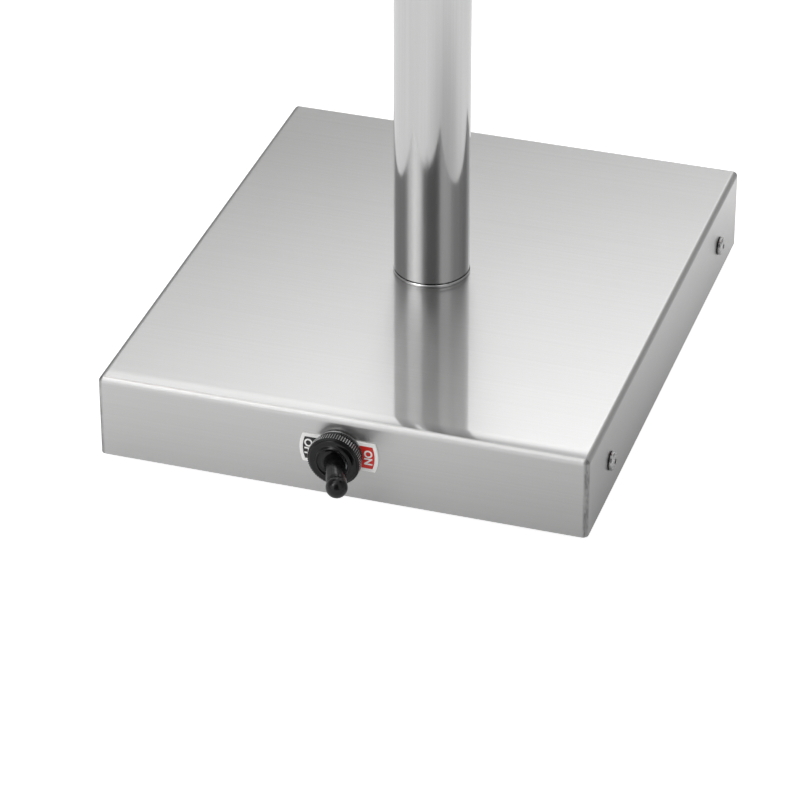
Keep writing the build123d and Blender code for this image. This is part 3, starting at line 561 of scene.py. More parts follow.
def polished_tube(metal):
    """Drawn and polished upright tube: fine lines along it soften the reflections round it."""
    material, tree, shader = fresh_material("polished_tube", Metallic=1.0, Anisotropic=0.8)
    place = object_place(tree)
    grain = use_group(tree, drawn_grain(), {"Vector": place, "Stretch": (2200.0, 2200.0, 12.0)})
    marks = use_group(tree, handling_marks(), {"Vector": place, "Scale": 35.0})
    lit = tone_between(tree, grain["Streak"], metal.polished, GRAIN_TONES)
    tree.links.new(lit, shader.inputs["Base Color"])
    gloss = metal.polished_gloss
    rough = span(tree, grain["Streak"], 0.0, 1.0, gloss - 0.02, gloss + 0.02)
    tree.links.new(calc(tree, "MULTIPLY_ADD", marks["Mask"], 0.03, rough), shader.inputs["Roughness"])
    normal = put(tree, "ShaderNodeNewGeometry").outputs["Normal"]
    tree.links.new(vector_calc(tree, "CROSS_PRODUCT", normal, (0.0, 0.0, 1.0)), shader.inputs["Tangent"])
    return material


def polished_bar(metal):
    """Polished tube that lies along the width."""
    material, tree, shader = fresh_material("polished_bar", Metallic=1.0)
    place = object_place(tree)
    grain = use_group(tree, drawn_grain(), {"Vector": place, "Stretch": (2200.0, 60.0, 60.0)})
    lit = tone_between(tree, grain["Streak"], metal.polished, GRAIN_TONES)
    tree.links.new(lit, shader.inputs["Base Color"])
    gloss = metal.polished_gloss
    rough = span(tree, grain["Streak"], 0.0, 1.0, gloss - 0.02, gloss + 0.03)
    tree.links.new(rough, shader.inputs["Roughness"])
    return material


def spotted_metal(name, base, rough, spot, pit):
    """Metal with a cloudy tone: plated, cast or turned pieces."""
    material, tree, shader = fresh_material(name, Metallic=1.0)
    place = object_place(tree)
    skin = use_group(tree, moulded_skin(), {"Vector": place, "Scale": spot})
    marks = use_group(tree, handling_marks(), {"Vector": place, "Scale": spot / 12})
    tone = tone_between(tree, skin["Speckle"], base, (0.95, 1.03))
    clouded = blend_colour(tree, marks["Mask"], tone, shaded(base, 0.86))
    tree.links.new(clouded, shader.inputs["Base Color"])
    uneven = span(tree, skin["Speckle"], 0.0, 1.0, rough - 0.05, rough + 0.05)
    tree.links.new(uneven, shader.inputs["Roughness"])
    bump(tree, shader, skin["Height"], pit)
    return material


def capped_screw(metal):
    """Screws in the sides: bright heads with a painted contact shadow, a dark line where they meet the
    sheet.
    """
    material, tree, shader = fresh_material("capped_screw", Metallic=1.0)
    place = object_place(tree)
    skin = use_group(tree, moulded_skin(), {"Vector": place, "Scale": 900.0})
    outward = calc(tree, "ABSOLUTE", split(tree, place)[0])
    # Painted shadow: dark colour on the lower part of the head's flank, next to the sheet
    line_start, line_end = shell_high.x + 0.35 * MM, shell_high.x + 0.65 * MM
    painted_shadow_colour = (0.03, 0.03, 0.03)
    tone = tone_between(tree, skin["Speckle"], metal.polished, (0.88, 1.0))
    with_painted_shadow = blend_colour(tree, span(tree, outward, line_start, line_end), painted_shadow_colour, tone)
    tree.links.new(with_painted_shadow, shader.inputs["Base Color"])
    uneven = span(tree, skin["Speckle"], 0.0, 1.0, 0.24, 0.32)
    tree.links.new(uneven, shader.inputs["Roughness"])
    bump(tree, shader, skin["Height"], 0.004 * MM)
    return material


def spun_shade(metal):
    """Spun aluminium: rings left by the spinning tool at each level, and a soft polish."""
    material, tree, shader = fresh_material("spun_shade", Metallic=1.0)
    place = object_place(tree)
    level = put(tree, "ShaderNodeCombineXYZ", {"Z": split(tree, place)[2]}).outputs[0]
    rings = use_group(tree, drawn_grain(), {"Vector": level, "Stretch": (0.0, 0.0, 1300.0)})
    marks = use_group(tree, handling_marks(), {"Vector": place, "Scale": 18.0})
    lit = tone_between(tree, rings["Streak"], metal.spun, (0.94, 1.04))
    tree.links.new(lit, shader.inputs["Base Color"])
    rough = span(tree, rings["Streak"], 0.0, 1.0, 0.20, 0.28)
    tree.links.new(calc(tree, "MULTIPLY_ADD", marks["Mask"], 0.05, rough), shader.inputs["Roughness"])
    bump(tree, shader, rings["Height"], 0.02 * MM)
    return material


def moulded(name, base, rough, grain, pit, specular=0.5, mottle=0.15):
    """Moulded rubber, plastic or ceramic with a fine skin and faint dust."""
    material, tree, shader = fresh_material(name, Specular_IOR_Level=specular)
    place = object_place(tree)
    skin = use_group(tree, moulded_skin(), {"Vector": place, "Scale": grain})
    marks = use_group(tree, handling_marks(), {"Vector": place, "Scale": grain / 25})
    tone = tone_between(tree, skin["Speckle"], base, (1 - mottle, 1 + mottle))
    kept, dust = 0.98, 0.002
    dusted = tuple(channel * kept + dust for channel in base)
    tree.links.new(blend_colour(tree, marks["Mask"], tone, dusted), shader.inputs["Base Color"])
    uneven = span(tree, skin["Speckle"], 0.0, 1.0, rough - 0.05, rough + 0.05)
    tree.links.new(uneven, shader.inputs["Roughness"])
    bump(tree, shader, skin["Height"], pit)
    return material


def knurled_black(switch):
    """Blackened nut: worn to the steel on the tops of its knurls and on its rim at the back."""
    material, tree, shader = fresh_material("knurled_black", Specular_IOR_Level=0.3)
    place = object_place(tree)
    x, y, z = split(tree, place)
    height = calc(tree, "SUBTRACT", z, float(switch_origin[2]))
    radius = calc(tree, "SQRT", calc(tree, "MULTIPLY_ADD", x, x, calc(tree, "MULTIPLY", height, height)))
    knurl_depth = 0.25 * MM
    rim_width, rim_fade = 0.85 * MM, 0.20 * MM
    crest_steel, rim_steel = (0.55, 0.55, 0.55), (0.42, 0.42, 0.42)
    crest = span(tree, radius, nut_high.x - knurl_depth, nut_high.x)
    rim = span(tree, y, nut_high.y - rim_width - rim_fade, nut_high.y - rim_width)
    skin = use_group(tree, moulded_skin(), {"Vector": place, "Scale": 2600.0})
    worn = blend_colour(tree, crest, switch.rubber, crest_steel)
    tree.links.new(blend_colour(tree, rim, worn, rim_steel), shader.inputs["Base Color"])
    tree.links.new(calc(tree, "MAXIMUM", rim, crest), shader.inputs["Metallic"])
    tree.links.new(span(tree, skin["Speckle"], 0.0, 1.0, 0.24, 0.32), shader.inputs["Roughness"])
    bump(tree, shader, skin["Height"], 0.004 * MM)
    return material


def tinted_glass(head):
    """Tinted glass with a faint ripple."""
    material, tree, shader = fresh_material(
        "tinted_glass", Metallic=0.0, IOR=1.5, Transmission_Weight=0.9
    )
    place = object_place(tree)
    marks = use_group(tree, handling_marks(), {"Vector": place, "Scale": 30.0})
    tint = blend_colour(tree, marks["Mask"], head.glass, shaded(head.glass, 0.88))
    tree.links.new(tint, shader.inputs["Base Color"])
    tree.links.new(span(tree, marks["Mask"], 0.0, 1.0, 0.05, 0.12), shader.inputs["Roughness"])
    bump(tree, shader, marks["Mask"], 0.05 * MM)
    return material


def printed(name, base):
    """Printed or painted field with a slight grain."""
    return moulded(name, base, rough=0.42, grain=1800.0, pit=0.003 * MM, mottle=0.03)


def new_finish(name):
    """Makes the finish of that name from the scene's properties."""
    metal = bpy.context.scene.heat_lamp_metal
    switch = bpy.context.scene.heat_lamp_switch
    head = bpy.context.scene.heat_lamp_head
    own_recipe = {
        "brushed_sheet": (brushed_sheet, metal),
        "polished_tube": (polished_tube, metal),
        "polished_bar": (polished_bar, metal),
        "spun_shade": (spun_shade, metal),
        "capped_screw": (capped_screw, metal),
        "knurled_black": (knurled_black, switch),
        "tinted_glass": (tinted_glass, head),
    }
    # Colour, roughness, spots per metre and depth of the pits
    spotted = {
        "satin_screw": (metal.polished, 0.26, 900.0, 0.004 * MM),
        "zinc_plate": (metal.zinc, 0.42, 260.0, 0.01 * MM),
        "cast_aluminium": (metal.aluminium, 0.26, 700.0, 0.006 * MM),
        "plain_brass": (metal.brass, 0.30, 500.0, 0.01 * MM),
        "mirror_lining": (metal.spun, 0.12, 300.0, 0.005 * MM),
    }
    # Colour, roughness, grains per metre, depth of the pits and, for rubber, its lower gloss
    skinned = {
        "primed_iron": ((0.10, 0.10, 0.105), 0.55, 500.0, 0.05 * MM),
        "soft_rubber": (switch.rubber, 0.16, 1500.0, 0.004 * MM, 0.33),
        "dark_plastic": ((0.016, 0.016, 0.017), 0.40, 1200.0, 0.02 * MM),
        "pale_plastic": ((0.74, 0.74, 0.71), 0.38, 900.0, 0.02 * MM),
        "acetal": ((0.70, 0.69, 0.64), 0.36, 900.0, 0.02 * MM),
        "lead_cover": ((0.20, 0.07, 0.035), 0.35, 900.0, 0.01 * MM),
        "glazed_holder": (head.glaze, 0.14, 400.0, 0.02 * MM),
    }
    inks = {
        "legend_white": switch.legend_white,
        "off_field": switch.off_colour,
        "on_field": switch.on_colour,
    }
    if name in own_recipe:
        recipe, group = own_recipe[name]
        return recipe(group)
    if name in spotted:
        return spotted_metal(name, *spotted[name])
    if name in inks:
        return printed(name, inks[name])
    return moulded(name, *skinned[name])


def finish(name):
    """The finish of that name, made when it is first asked for."""
    return bpy.data.materials.get(name) or new_finish(name)


def dress(name, *nodes):
    """Gives CAD nodes a finish."""
    for node in nodes:
        materials = frame["nodes"][node].data.materials
        materials.clear()
        materials.append(finish(name))


def dress_piece(piece, name):
    """Gives a new piece its finish."""
    piece.data.materials.append(finish(name))


# Boot

def dress_boot(piece):
    """Gives a piece of the boot its rubber and the place of the CAD's boot."""
    dress_piece(piece, "soft_rubber")
    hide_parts("switch_boot")


def make_collar(switch):
    """Collar that lies on the nut: a lip, a flat and a crest ring, turned round the switch's axis."""
    collar_profile = smooth_line(
        [
            (switch.lip_radius, nut_face + 0.05 * MM),
            (switch.lip_radius + 0.05 * MM, nut_face + 0.5 * switch.lip_rise),
            (switch.lip_radius - 0.30 * MM, nut_face + 0.9 * switch.lip_rise),
            (switch.crest_radius + 2.0 * MM, nut_face + switch.lip_rise),
            (switch.crest_radius + 0.9 * MM, nut_face + 0.9 * switch.lip_rise),
            (switch.crest_radius + 0.45 * MM, nut_face + 0.7 * switch.crest_rise),
            (switch.crest_radius, nut_face + switch.crest_rise),
            (switch.crest_radius - 0.45 * MM, nut_face + 0.8 * switch.crest_rise),
            (switch.crest_radius - 0.60 * MM, nut_face + 0.3 * switch.crest_rise),
        ],
        6,
    )
    foot = switch.lip_radius - 1.0 * MM
    under = nut_face - 0.4 * MM
    underside = np.array(
        [
            (switch.crest_radius - 0.6 * MM, under),
            (foot, under),
            (foot, nut_face + 0.05 * MM),
        ]
    )
    collar_rings = turned_rings(np.vstack([collar_profile, underside]), BOOT_SEGMENTS)
    collar = ring_mesh("boot_collar", in_switch(collar_rings), loop=True)
    dress_boot(collar)
    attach(collar, "stand")


def make_fold(switch, valley):
    """Fold from the crest ring to the sleeve: each ring lies between the switch's frame and the
    lever's, by a smooth step from the crest inwards."""
    outer_level = nut_face + 0.85 * switch.crest_rise
    fold_top = smooth_line(
        [
            (switch.crest_radius - 0.3 * MM, outer_level),
            (switch.crest_radius - 0.9 * MM, nut_face + 0.4 * MM),
            (switch.root_radius + 0.9 * MM, valley + 0.15 * MM),
            (switch.root_radius + 0.4 * MM, valley),
            (switch.root_radius - 0.2 * MM, valley + 0.1 * MM),
        ],
        8,
    )
    fold_profile = np.vstack([fold_top, fold_top[::-1] - (0, switch.rubber_wall)])
    fold_rings = turned_rings(fold_profile, BOOT_SEGMENTS)
    inward = switch.crest_radius - 0.3 * MM - fold_profile[:, 0]
    weight = smooth_step(inward / (switch.crest_radius - switch.root_radius - 0.5 * MM))[:, None, None]
    lever_rings = fold_rings.copy()
    lever_rings[..., 2] = (fold_rings[..., 2] - pivot_depth) / math.cos(lever_tilt)
    fold_points = (1 - weight) * in_switch(fold_rings) + weight * in_lever(lever_rings)
    fold = ring_mesh("boot_fold", fold_points, loop=True)
    dress_boot(fold)
    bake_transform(fold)


def make_sleeve(switch, valley):
    """Sleeve over the lever: a line that narrows to a waist and ends in a ball, turned round the
    lever's axis, with soft ridges that follow the cosine of a multiple of the angle."""
    root = (valley - pivot_depth) / math.cos(lever_tilt)
    tip = (lever_pivot[1] - boot_low.y - switch.tip_radius) / math.cos(lever_tilt)
    waist = tip - math.sqrt(switch.tip_radius**2 - switch.waist_radius**2)
    sleeve_line = smooth_line(
        [
            (switch.root_radius - 0.4 * MM, root - 1.2 * MM),
            (switch.root_radius, root),
            (switch.root_radius - 0.05 * MM, root + 0.8 * MM),
            (switch.sleeve_radius + 0.12 * MM, root + 2.6 * MM),
            (switch.sleeve_radius, root + 6.0 * MM),
            (switch.sleeve_radius - 0.02 * MM, waist - 2.4 * MM),
            (switch.waist_radius + 0.10 * MM, waist - 0.8 * MM),
            (switch.waist_radius, waist),
        ],
        8,
    )
    start_angle = math.asin(switch.waist_radius / switch.tip_radius)
    ball_angle = np.linspace(math.pi - start_angle, 0.02, 24)[1:]
    ball = np.stack(
        [switch.tip_radius * np.sin(ball_angle), tip + switch.tip_radius * np.cos(ball_angle)], axis=1
    )
    sleeve_profile = np.vstack([sleeve_line, ball])
    sleeve_rings = turned_rings(sleeve_profile, BOOT_SEGMENTS)
    angle = np.linspace(0, 2 * math.pi, BOOT_SEGMENTS, endpoint=False)
    along = (sleeve_profile[:, 1] - root) / (waist - root)
    root_fade, waist_fade = 0.25, 0.15
    fade = smooth_step(along / root_fade) * smooth_step((1 - along) / waist_fade)
    ridge = switch.ridge_height * fade[:, None] * np.cos(switch.ridge_count * angle)
    sleeve_rings[..., 0] += ridge * np.cos(angle)
    sleeve_rings[..., 1] += ridge * np.sin(angle)
    sleeve = ring_mesh("boot_sleeve", in_lever(sleeve_rings), caps=True)
    dress_boot(sleeve)
    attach(sleeve, "toggle")


def make_boot(switch):
    """Rubber boot in three pieces: collar on the nut, fold round the lever and sleeve over it."""
    valley = nut_face - switch.valley_drop
    make_collar(switch)
    make_fold(switch, valley)
    make_sleeve(switch, valley)


# Legend

def printed_field(name, switch, sign):
    """Field on one wing of the legend plate: each level is a strip from under the nut out to a
    circle inside the plate's rim, given a thickness."""
    half_height = (legend_high.z - legend_low.z) / 2 - switch.legend_border
    outer_radius = (legend_high.x - legend_low.x) / 2 - switch.legend_border
    under_nut = 0.8
    inner = under_nut * (nut_high.x - nut_low.x) / 2
    level = np.linspace(-half_height, half_height, 25)
    outer = np.sqrt(outer_radius**2 - level**2)
    low = np.full_like(level, legend_face)
    high = low + switch.print_height
    near = np.full_like(level, inner)
    corners = [(near, low), (outer, low), (outer, high), (near, high)]
    rings = np.stack([np.stack([sign * u, level, w], axis=-1) for u, w in corners], axis=1)
    field = ring_mesh(name, in_switch(rings), caps=True)
    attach(field, "stand")
    return field


def printed_word(name, switch, word, word_length, top):
    """Word turned a quarter to the right, so that it reads downwards, scaled to its length and
    height, with its letters' tops at a distance from the switch's axis."""
    text = bpy.data.curves.new(name, "FONT")
    text.body = word
    text.extrude = 0.5
    text.resolution_u = 6
    text.offset = 0.03
    letters = bpy.data.objects.new(name + "_text", text)
    bpy.context.scene.collection.objects.link(letters)
    bpy.context.view_layer.update()
    mesh = bpy.data.meshes.new_from_object(letters.evaluated_get(bpy.context.evaluated_depsgraph_get()))
    bpy.data.objects.remove(letters)
    points = np.empty(len(mesh.vertices) * 3)
    mesh.vertices.foreach_get("co", points)
    points = points.reshape(-1, 3)
    low = points.min(axis=0)
    unit = (points - low) / (points.max(axis=0) - low)
    u = top - switch.letter_height * (1 - unit[:, 1])
    v = word_length * (0.5 - unit[:, 0])
    w = legend_face + switch.print_height * (0.5 + unit[:, 2])
    mesh.vertices.foreach_set("co", in_switch(np.stack([u, v, w], axis=1)).ravel())
    mesh.name = name
    piece = finished_object(name, mesh)
    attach(piece, "stand")
    return piece


def make_legend(switch):
    """Dark field with OFF on the left wing and red field with ON on the right wing."""
    rim = (legend_high.x - legend_low.x) / 2 - switch.legend_border
    left = printed_field("off_field", switch, -1)
    dress_piece(left, "off_field")
    right = printed_field("on_field", switch, 1)
    dress_piece(right, "on_field")
    off_margin, on_margin = 0.6 * MM, 0.9 * MM
    off_top = off_margin + switch.letter_height - rim
    off_word = printed_word("off_word", switch, "OFF", switch.off_length, off_top)
    dress_piece(off_word, "legend_white")
    on_word = printed_word("on_word", switch, "ON", switch.on_length, rim - on_margin)
    dress_piece(on_word, "legend_white")


# Bulbs

def make_lining(head, side):
    """Mirror lining inside a bulb's cone: a smooth line from the neck to the rim, set in from the
    glass, given a thickness and turned round the bulb's axis."""
    low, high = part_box(side + "_bulb")
    centre_x = (low.x + high.x) / 2
    belly = (high.x - low.x) / 2
    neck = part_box(side + "_bulb_cap")[1].x - centre_x - head.lining_gap
    neck_top, neck_end = high.z - 20 * MM, high.z - 34 * MM
    shoulder, rim = low.z + 62 * MM, low.z + 36 * MM
    flare, shoulder_inset, rim_inset = 3 * MM, 16 * MM, head.lining_gap + 1 * MM
    outer_profile = [
        (neck, neck_top),
        (neck + flare, neck_end),
        (belly - shoulder_inset, shoulder),
        (belly - rim_inset, rim),
    ]
    line = smooth_line(outer_profile, 12)
    profile = np.vstack([line, line[::-1] - (head.lining_wall, 0)])
    rings = turned_rings(profile, BULB_SEGMENTS) + (centre_x, 0, 0)
    lining = ring_mesh(side + "_bulb_lining", rings, loop=True)
    dress_piece(lining, "mirror_lining")
    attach(lining, side + "_lamp")


# Stage

def make_floor(stage):
    """Plain pale floor that glows a little, so that it comes out white. It gives the lamp less light
    beside the base and near the base's front right corner."""
    half = stage.floor_half
    corners = np.array([(-half, -half, 0), (half, -half, 0), (half, half, 0), (-half, half, 0)])
    mesh = bpy.data.meshes.new("floor")
    mesh.from_pydata(corners.tolist(), [], [(0, 1, 2, 3)])
    floor = bpy.data.objects.new("floor", mesh)
    bpy.context.scene.collection.objects.link(floor)
    material, tree, shader = fresh_material(
        "pale_floor", Base_Color=(*stage.floor, 1.0), Roughness=0.9, Specular_IOR_Level=0.0,
        Emission_Color=(1.0, 1.0, 1.0, 1.0),
    )
    seen = put(tree, "ShaderNodeLightPath").outputs["Is Camera Ray"]
    corner = (shell_high.x + stage.shade_right, front + stage.shade_back, 0.0)
    place = object_place(tree)
    away = put(tree, "ShaderNodeVectorMath", {0: place, 1: corner}, operation="DISTANCE")
    bounce = span(
        tree, away.outputs["Value"], 0.0, stage.shade_reach, stage.floor_shade, stage.floor_bounce
    )
    squares = []
    for along, half_size in zip(split(tree, place), (shell_high.x, shell_high.y)):
        past = calc(tree, "SUBTRACT", calc(tree, "ABSOLUTE", along), half_size)
        squares.append(calc(tree, "POWER", calc(tree, "MAXIMUM", past, 0.0), 2.0))
    gap = calc(tree, "SQRT", calc(tree, "ADD", *squares))
    contact = span(tree, gap, 0.0, stage.contact_reach, 1.0 - stage.contact_shade, 1.0)
    shady = calc(tree, "MULTIPLY", bounce, contact)
    glow = span(tree, seen, 0.0, 1.0, shady, stage.floor_glow, "LINEAR")
    tree.links.new(glow, shader.inputs["Emission Strength"])
    mesh.materials.append(material)


# Studio cards as (azimuth in degrees, brightness): 0 is the camera's side, +90 its right
LOW_CARDS = (
    (-180, 0.70), (-130, 0.45), (-75, 0.45), (-60, 0.75), (-28, 0.75), (-18, 0.22), (20, 0.22),
    (35, 0.50), (95, 0.35), (112, 0.10), (150, 0.12), (180, 0.70),
)
MIDDLE_CARDS = (
    (-180, 0.80), (-165, 0.60), (-152, 0.56), (-144, 0.25), (-82, 0.22), (-74, 0.90), (-36, 0.92),
    (-25, 0.08), (20, 0.08), (27, 0.55), (55, 0.50), (64, 0.30), (122, 0.20), (138, 0.50), (158, 0.72),
    (180, 0.80),
)
HIGH_CARDS = (
    (-180, 0.70), (-150, 1.15), (-95, 1.25), (-50, 1.15), (-25, 0.85), (0, 0.50), (90, 0.50), (180, 0.70),
)
# Heights in degrees between which one ring of cards passes into the next
LOW_TO_MIDDLE = (6.0, 22.0)
MIDDLE_TO_HIGH = (52.0, 68.0)
# Softboxes as (azimuth, height and half width in degrees, brightness), and the share at full light
SOFTBOXES = ((-57, 58, 8, 2.0), (-58, 44, 9, 2.6))
SOFTBOX_CORE = 0.7
# Card behind the column: sines of its side edges, heights in degrees and changes of brightness
BACK_CARD_SIDES = (0.10, 0.24)
BACK_CARD_FOOT = (12.0, 22.0)
BACK_CARD_RISE = (28.0, 33.5)
BACK_CARD_LIGHT = (-1.05, 1.18)
BACK_CARD_TOP = (36.0, 41.0)
BACK_CARD_TOP_LOSS = 1.08
BACK_CARD_RIGHT = 2.6
BACK_CARD_LEAST = 0.05


def card_ring(tree, azimuth, cards):
    """Ring of studio cards: brightness by azimuth."""
    node = put(tree, "ShaderNodeValToRGB", {0: azimuth})
    ramp = node.color_ramp
    ramp.interpolation = "EASE"
    while len(ramp.elements) < len(cards):
        ramp.elements.new(0.5)
    for element, (angle, brightness) in zip(ramp.elements, cards):
        element.position = angle / 360 + 0.5
        element.color = (brightness, brightness, brightness, 1.0)
    return node.outputs["Color"]


def back_card(tree, x, y, rise):
    """Gain of the card behind the column: one, plus a change that goes from dark at the card's foot
    to bright, falls off at its top and grows to the right."""
    middle = span(tree, calc(tree, "ABSOLUTE", x), *BACK_CARD_SIDES, 1.0, 0.0)
    above = calc(tree, "MULTIPLY", span(tree, y, 0.0, 0.3), span(tree, rise, *BACK_CARD_FOOT))
    behind = calc(tree, "MULTIPLY", middle, above)
    brightening = span(tree, rise, *BACK_CARD_RISE, *BACK_CARD_LIGHT, "LINEAR")
    fall = span(tree, rise, *BACK_CARD_TOP, 0.0, BACK_CARD_TOP_LOSS)
    level = calc(tree, "SUBTRACT", brightening, fall)
    change = calc(tree, "MULTIPLY_ADD", x, BACK_CARD_RIGHT, level)
    return calc(tree, "MAXIMUM", calc(tree, "MULTIPLY_ADD", change, behind, 1.0), BACK_CARD_LEAST)


def make_studio(stage):
    """Soft studio round the lamp: three rings of light and dark cards, one above the other, a card
    behind the column and two softboxes."""
    world = bpy.data.worlds.new("studio")
    bpy.context.scene.world = world
    world.use_nodes = True
    tree = world.node_tree
    direction = put(tree, "ShaderNodeTexCoord").outputs["Generated"]
    turned = put(
        tree, "ShaderNodeVectorRotate", {"Vector": direction, "Angle": -stage.camera_yaw},
        rotation_type="Z_AXIS",
    ).outputs[0]
    x, y, z = split(tree, turned)
    azimuth = calc(tree, "ARCTAN2", x, calc(tree, "MULTIPLY", y, -1.0))
    around = calc(tree, "MULTIPLY_ADD", azimuth, 1 / (2 * math.pi), 0.5)
    rise = calc(tree, "MULTIPLY", calc(tree, "ARCSINE", z), 180 / math.pi)
    lower = blend_colour(
        tree, span(tree, rise, *LOW_TO_MIDDLE),
        card_ring(tree, around, LOW_CARDS), card_ring(tree, around, MIDDLE_CARDS),
    )
    high = card_ring(tree, around, HIGH_CARDS)
    whole = blend_colour(tree, span(tree, rise, *MIDDLE_TO_HIGH), lower, high)
    lit = vector_calc(tree, "MULTIPLY", whole, back_card(tree, x, y, rise))
    for angle, height, half_angle, brightness in SOFTBOXES:
        level = math.cos(math.radians(height))
        aim = (
            level * math.sin(math.radians(angle)),
            -level * math.cos(math.radians(angle)),
            math.sin(math.radians(height)),
        )
        facing = put(tree, "ShaderNodeVectorMath", {0: turned, 1: aim}, operation="DOT_PRODUCT")
        edge = math.cos(math.radians(half_angle))
        inner = math.cos(math.radians(SOFTBOX_CORE * half_angle))
        box = span(tree, facing.outputs["Value"], edge, inner, 0.0, brightness)
        lit = vector_calc(tree, "ADD", lit, box)
    background = tree.nodes["Background"]
    tree.links.new(lit, background.inputs["Color"])
    background.inputs["Strength"].default_value = stage.studio


def make_camera(stage):
    """Camera at the photograph's viewing angle."""
    data = bpy.data.cameras.new("camera")
    data.sensor_width = stage.sensor
    data.lens = stage.lens
    data.clip_end = 50.0
    camera = bpy.data.objects.new("camera", data)
    bpy.context.scene.collection.objects.link(camera)
    yaw, pitch = stage.camera_yaw, stage.camera_pitch
    level = Vector((math.cos(yaw), math.sin(yaw), 0))
    sight = Vector((-math.sin(yaw) * math.cos(pitch), math.cos(yaw) * math.cos(pitch), -math.sin(pitch)))
    axes = Matrix((level, level.cross(sight), -sight)).transposed()
    turned = axes @ Matrix.Rotation(-stage.camera_roll, 3, "Z")
    camera.matrix_world = Matrix.Translation(stage.camera_place) @ turned.to_4x4()
    bpy.context.scene.camera = camera
    bpy.context.scene.view_settings.view_transform = "Standard"


# Operators

class HEATLAMP_OT_base(bpy.types.Operator):
    """Finishes the base: shell, tray, screws, feet and ballast"""

    bl_idname = "heat_lamp.base"
    bl_label = "Base"

    def execute(self, context):
        dress("brushed_sheet", "base_shell")
        dress("zinc_plate", "bottom_tray", "clinch_nuts", "ballast_screws")
        dress("capped_screw", "side_screws")
        dress("soft_rubber", "rubber_feet")
        dress("primed_iron", "ballast_plate")
        return {"FINISHED"}


class HEATLAMP_OT_wiring(bpy.types.Operator):
    """Finishes what the base holds: terminal block, leads, earth stud and cable gland"""

    bl_idname = "heat_lamp.wiring"
    bl_label = "Wiring and gland"

    def execute(self, context):
        dress("pale_plastic", "terminal_block")
        dress("zinc_plate", "terminal_block_screws")
        dress("plain_brass", "earth_stud", "switch_terminals")
        dress("lead_cover", "switch_leads", "lamp_leads")
        dress("dark_plastic", "gland_body", "gland_lock_nut", "gland_dome_nut")
        dress("soft_rubber", "gland_seal")
        return {"FINISHED"}


class HEATLAMP_OT_switch(bpy.types.Operator):
    """Finishes the toggle switch, its nuts and its legend plate"""

    bl_idname = "heat_lamp.switch"
    bl_label = "Toggle switch"

    def execute(self, context):
        dress("dark_plastic", "switch_body")
        dress("zinc_plate", "switch_bushing", "switch_lock_washer", "switch_inner_nut")
        dress("satin_screw", "switch_lever", "switch_lever_pin")
        dress("legend_white", "legend_plate")
        dress("knurled_black", "boot_nut")
        return {"FINISHED"}


class HEATLAMP_OT_boot(bpy.types.Operator):
    """Makes the rubber boot over the switch lever"""

    bl_idname = "heat_lamp.boot"
    bl_label = "Rubber boot"

    def execute(self, context):
        make_boot(context.scene.heat_lamp_switch)
        return {"FINISHED"}


class HEATLAMP_OT_legend(bpy.types.Operator):
    """Prints the fields and words on the legend plate"""

    bl_idname = "heat_lamp.legend"
    bl_label = "Legend"

    def execute(self, context):
        make_legend(context.scene.heat_lamp_switch)
        return {"FINISHED"}


class HEATLAMP_OT_column(bpy.types.Operator):
    """Finishes the column, the mast and the clamp between them"""

    bl_idname = "heat_lamp.column"
    bl_label = "Column and mast"

    def execute(self, context):
        dress("polished_tube", "column_foot", "column_tube", "mast_tube")
        dress("zinc_plate", "column_backing_plate", "column_washer", "column_nut")
        dress("dark_plastic", "column_bush", "clamp_knob")
        dress("cast_aluminium", "clamp_collar")
        dress("plain_brass", "clamp_pad")
        dress("satin_screw", "clamp_stud", "mast_rings")
        dress("acetal", "mast_guide")
        return {"FINISHED"}


class HEATLAMP_OT_head(bpy.types.Operator):
    """Finishes the tee, the crossbar, the elbows and the shades"""

    bl_idname = "heat_lamp.head"
    bl_label = "Head and shades"

    def execute(self, context):
        dress("cast_aluminium", "tee_block", "left_elbow", "right_elbow")
        dress("polished_bar", "crossbar")
        dress("satin_screw", "tee_screws", "tilt_screws")
        dress("spun_shade", "left_shade", "right_shade")
        return {"FINISHED"}


class HEATLAMP_OT_bulbs(bpy.types.Operator):
    """Finishes the lamp holders and bulbs and gives each bulb its mirror lining"""

    bl_idname = "heat_lamp.bulbs"
    bl_label = "Bulbs"

    def execute(self, context):
        for side in ("left", "right"):
            dress("glazed_holder", side + "_lamp_holder")
            dress("plain_brass", side + "_nipple", side + "_nipple_nut")
            dress("plain_brass", side + "_contact_shell", side + "_bulb_cap")
            dress("tinted_glass", side + "_bulb")
            make_lining(context.scene.heat_lamp_head, side)
        return {"FINISHED"}


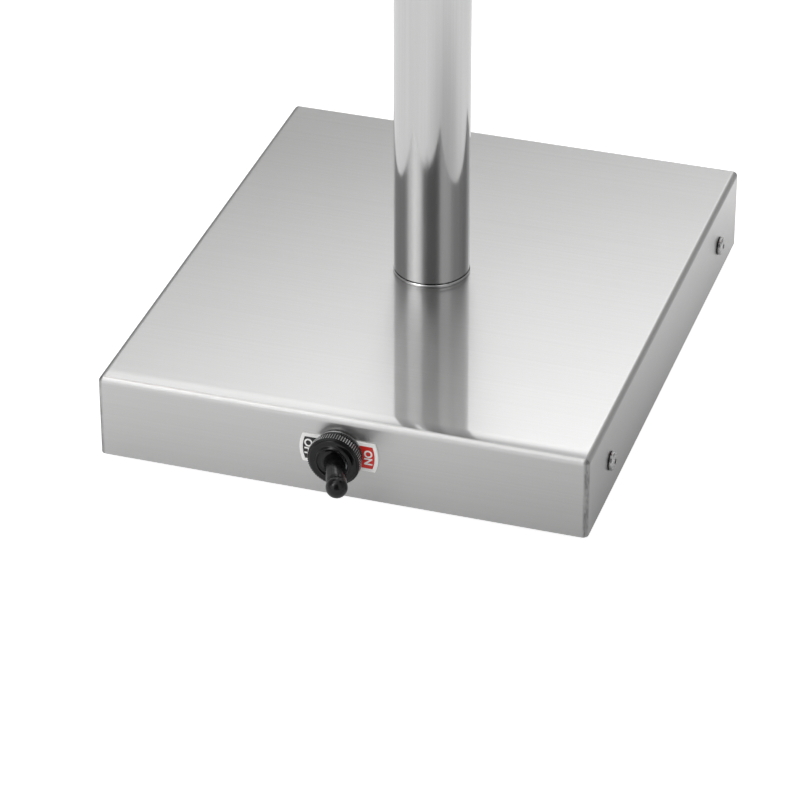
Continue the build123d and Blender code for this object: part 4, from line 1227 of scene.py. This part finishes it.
class HEATLAMP_OT_stage(bpy.types.Operator):
    """Sets the floor, the studio light and the camera"""

    bl_idname = "heat_lamp.stage"
    bl_label = "Stage"

    def execute(self, context):
        make_floor(context.scene.heat_lamp_stage)
        make_studio(context.scene.heat_lamp_stage)
        make_camera(context.scene.heat_lamp_stage)
        return {"FINISHED"}


OPERATORS = (
    HEATLAMP_OT_base,
    HEATLAMP_OT_wiring,
    HEATLAMP_OT_switch,
    HEATLAMP_OT_boot,
    HEATLAMP_OT_legend,
    HEATLAMP_OT_column,
    HEATLAMP_OT_head,
    HEATLAMP_OT_bulbs,
    HEATLAMP_OT_stage,
)
GROUPS = {
    "heat_lamp_metal": HeatLampMetal,
    "heat_lamp_switch": HeatLampSwitch,
    "heat_lamp_head": HeatLampHead,
    "heat_lamp_stage": HeatLampStage,
}


class HEATLAMP_PT_panel(bpy.types.Panel):
    """Lists the lamp's steps and the sizes and colours behind them"""

    bl_idname = "HEATLAMP_PT_panel"
    bl_label = "Food heat lamp"
    bl_space_type = "VIEW_3D"
    bl_region_type = "UI"
    bl_category = "Heat lamp"

    def draw(self, context):
        for operator in OPERATORS:
            self.layout.operator(operator.bl_idname)
        for group, kind in GROUPS.items():
            box = self.layout.box()
            for name in kind.__annotations__:
                box.prop(getattr(context.scene, group), name)


def register():
    for kind in (*GROUPS.values(), *OPERATORS, HEATLAMP_PT_panel):
        bpy.utils.register_class(kind)
    for name, kind in GROUPS.items():
        setattr(bpy.types.Scene, name, bpy.props.PointerProperty(type=kind))


def unregister():
    for name in GROUPS:
        delattr(bpy.types.Scene, name)
    for kind in (HEATLAMP_PT_panel, *reversed(OPERATORS), *reversed(GROUPS.values())):
        bpy.utils.unregister_class(kind)


def main():
    register()
    bpy.ops.heat_lamp.base()
    bpy.ops.heat_lamp.wiring()
    bpy.ops.heat_lamp.switch()
    bpy.ops.heat_lamp.boot()
    bpy.ops.heat_lamp.legend()
    bpy.ops.heat_lamp.column()
    bpy.ops.heat_lamp.head()
    bpy.ops.heat_lamp.bulbs()
    bpy.ops.heat_lamp.stage()


if __name__ == "__main__":
    main()
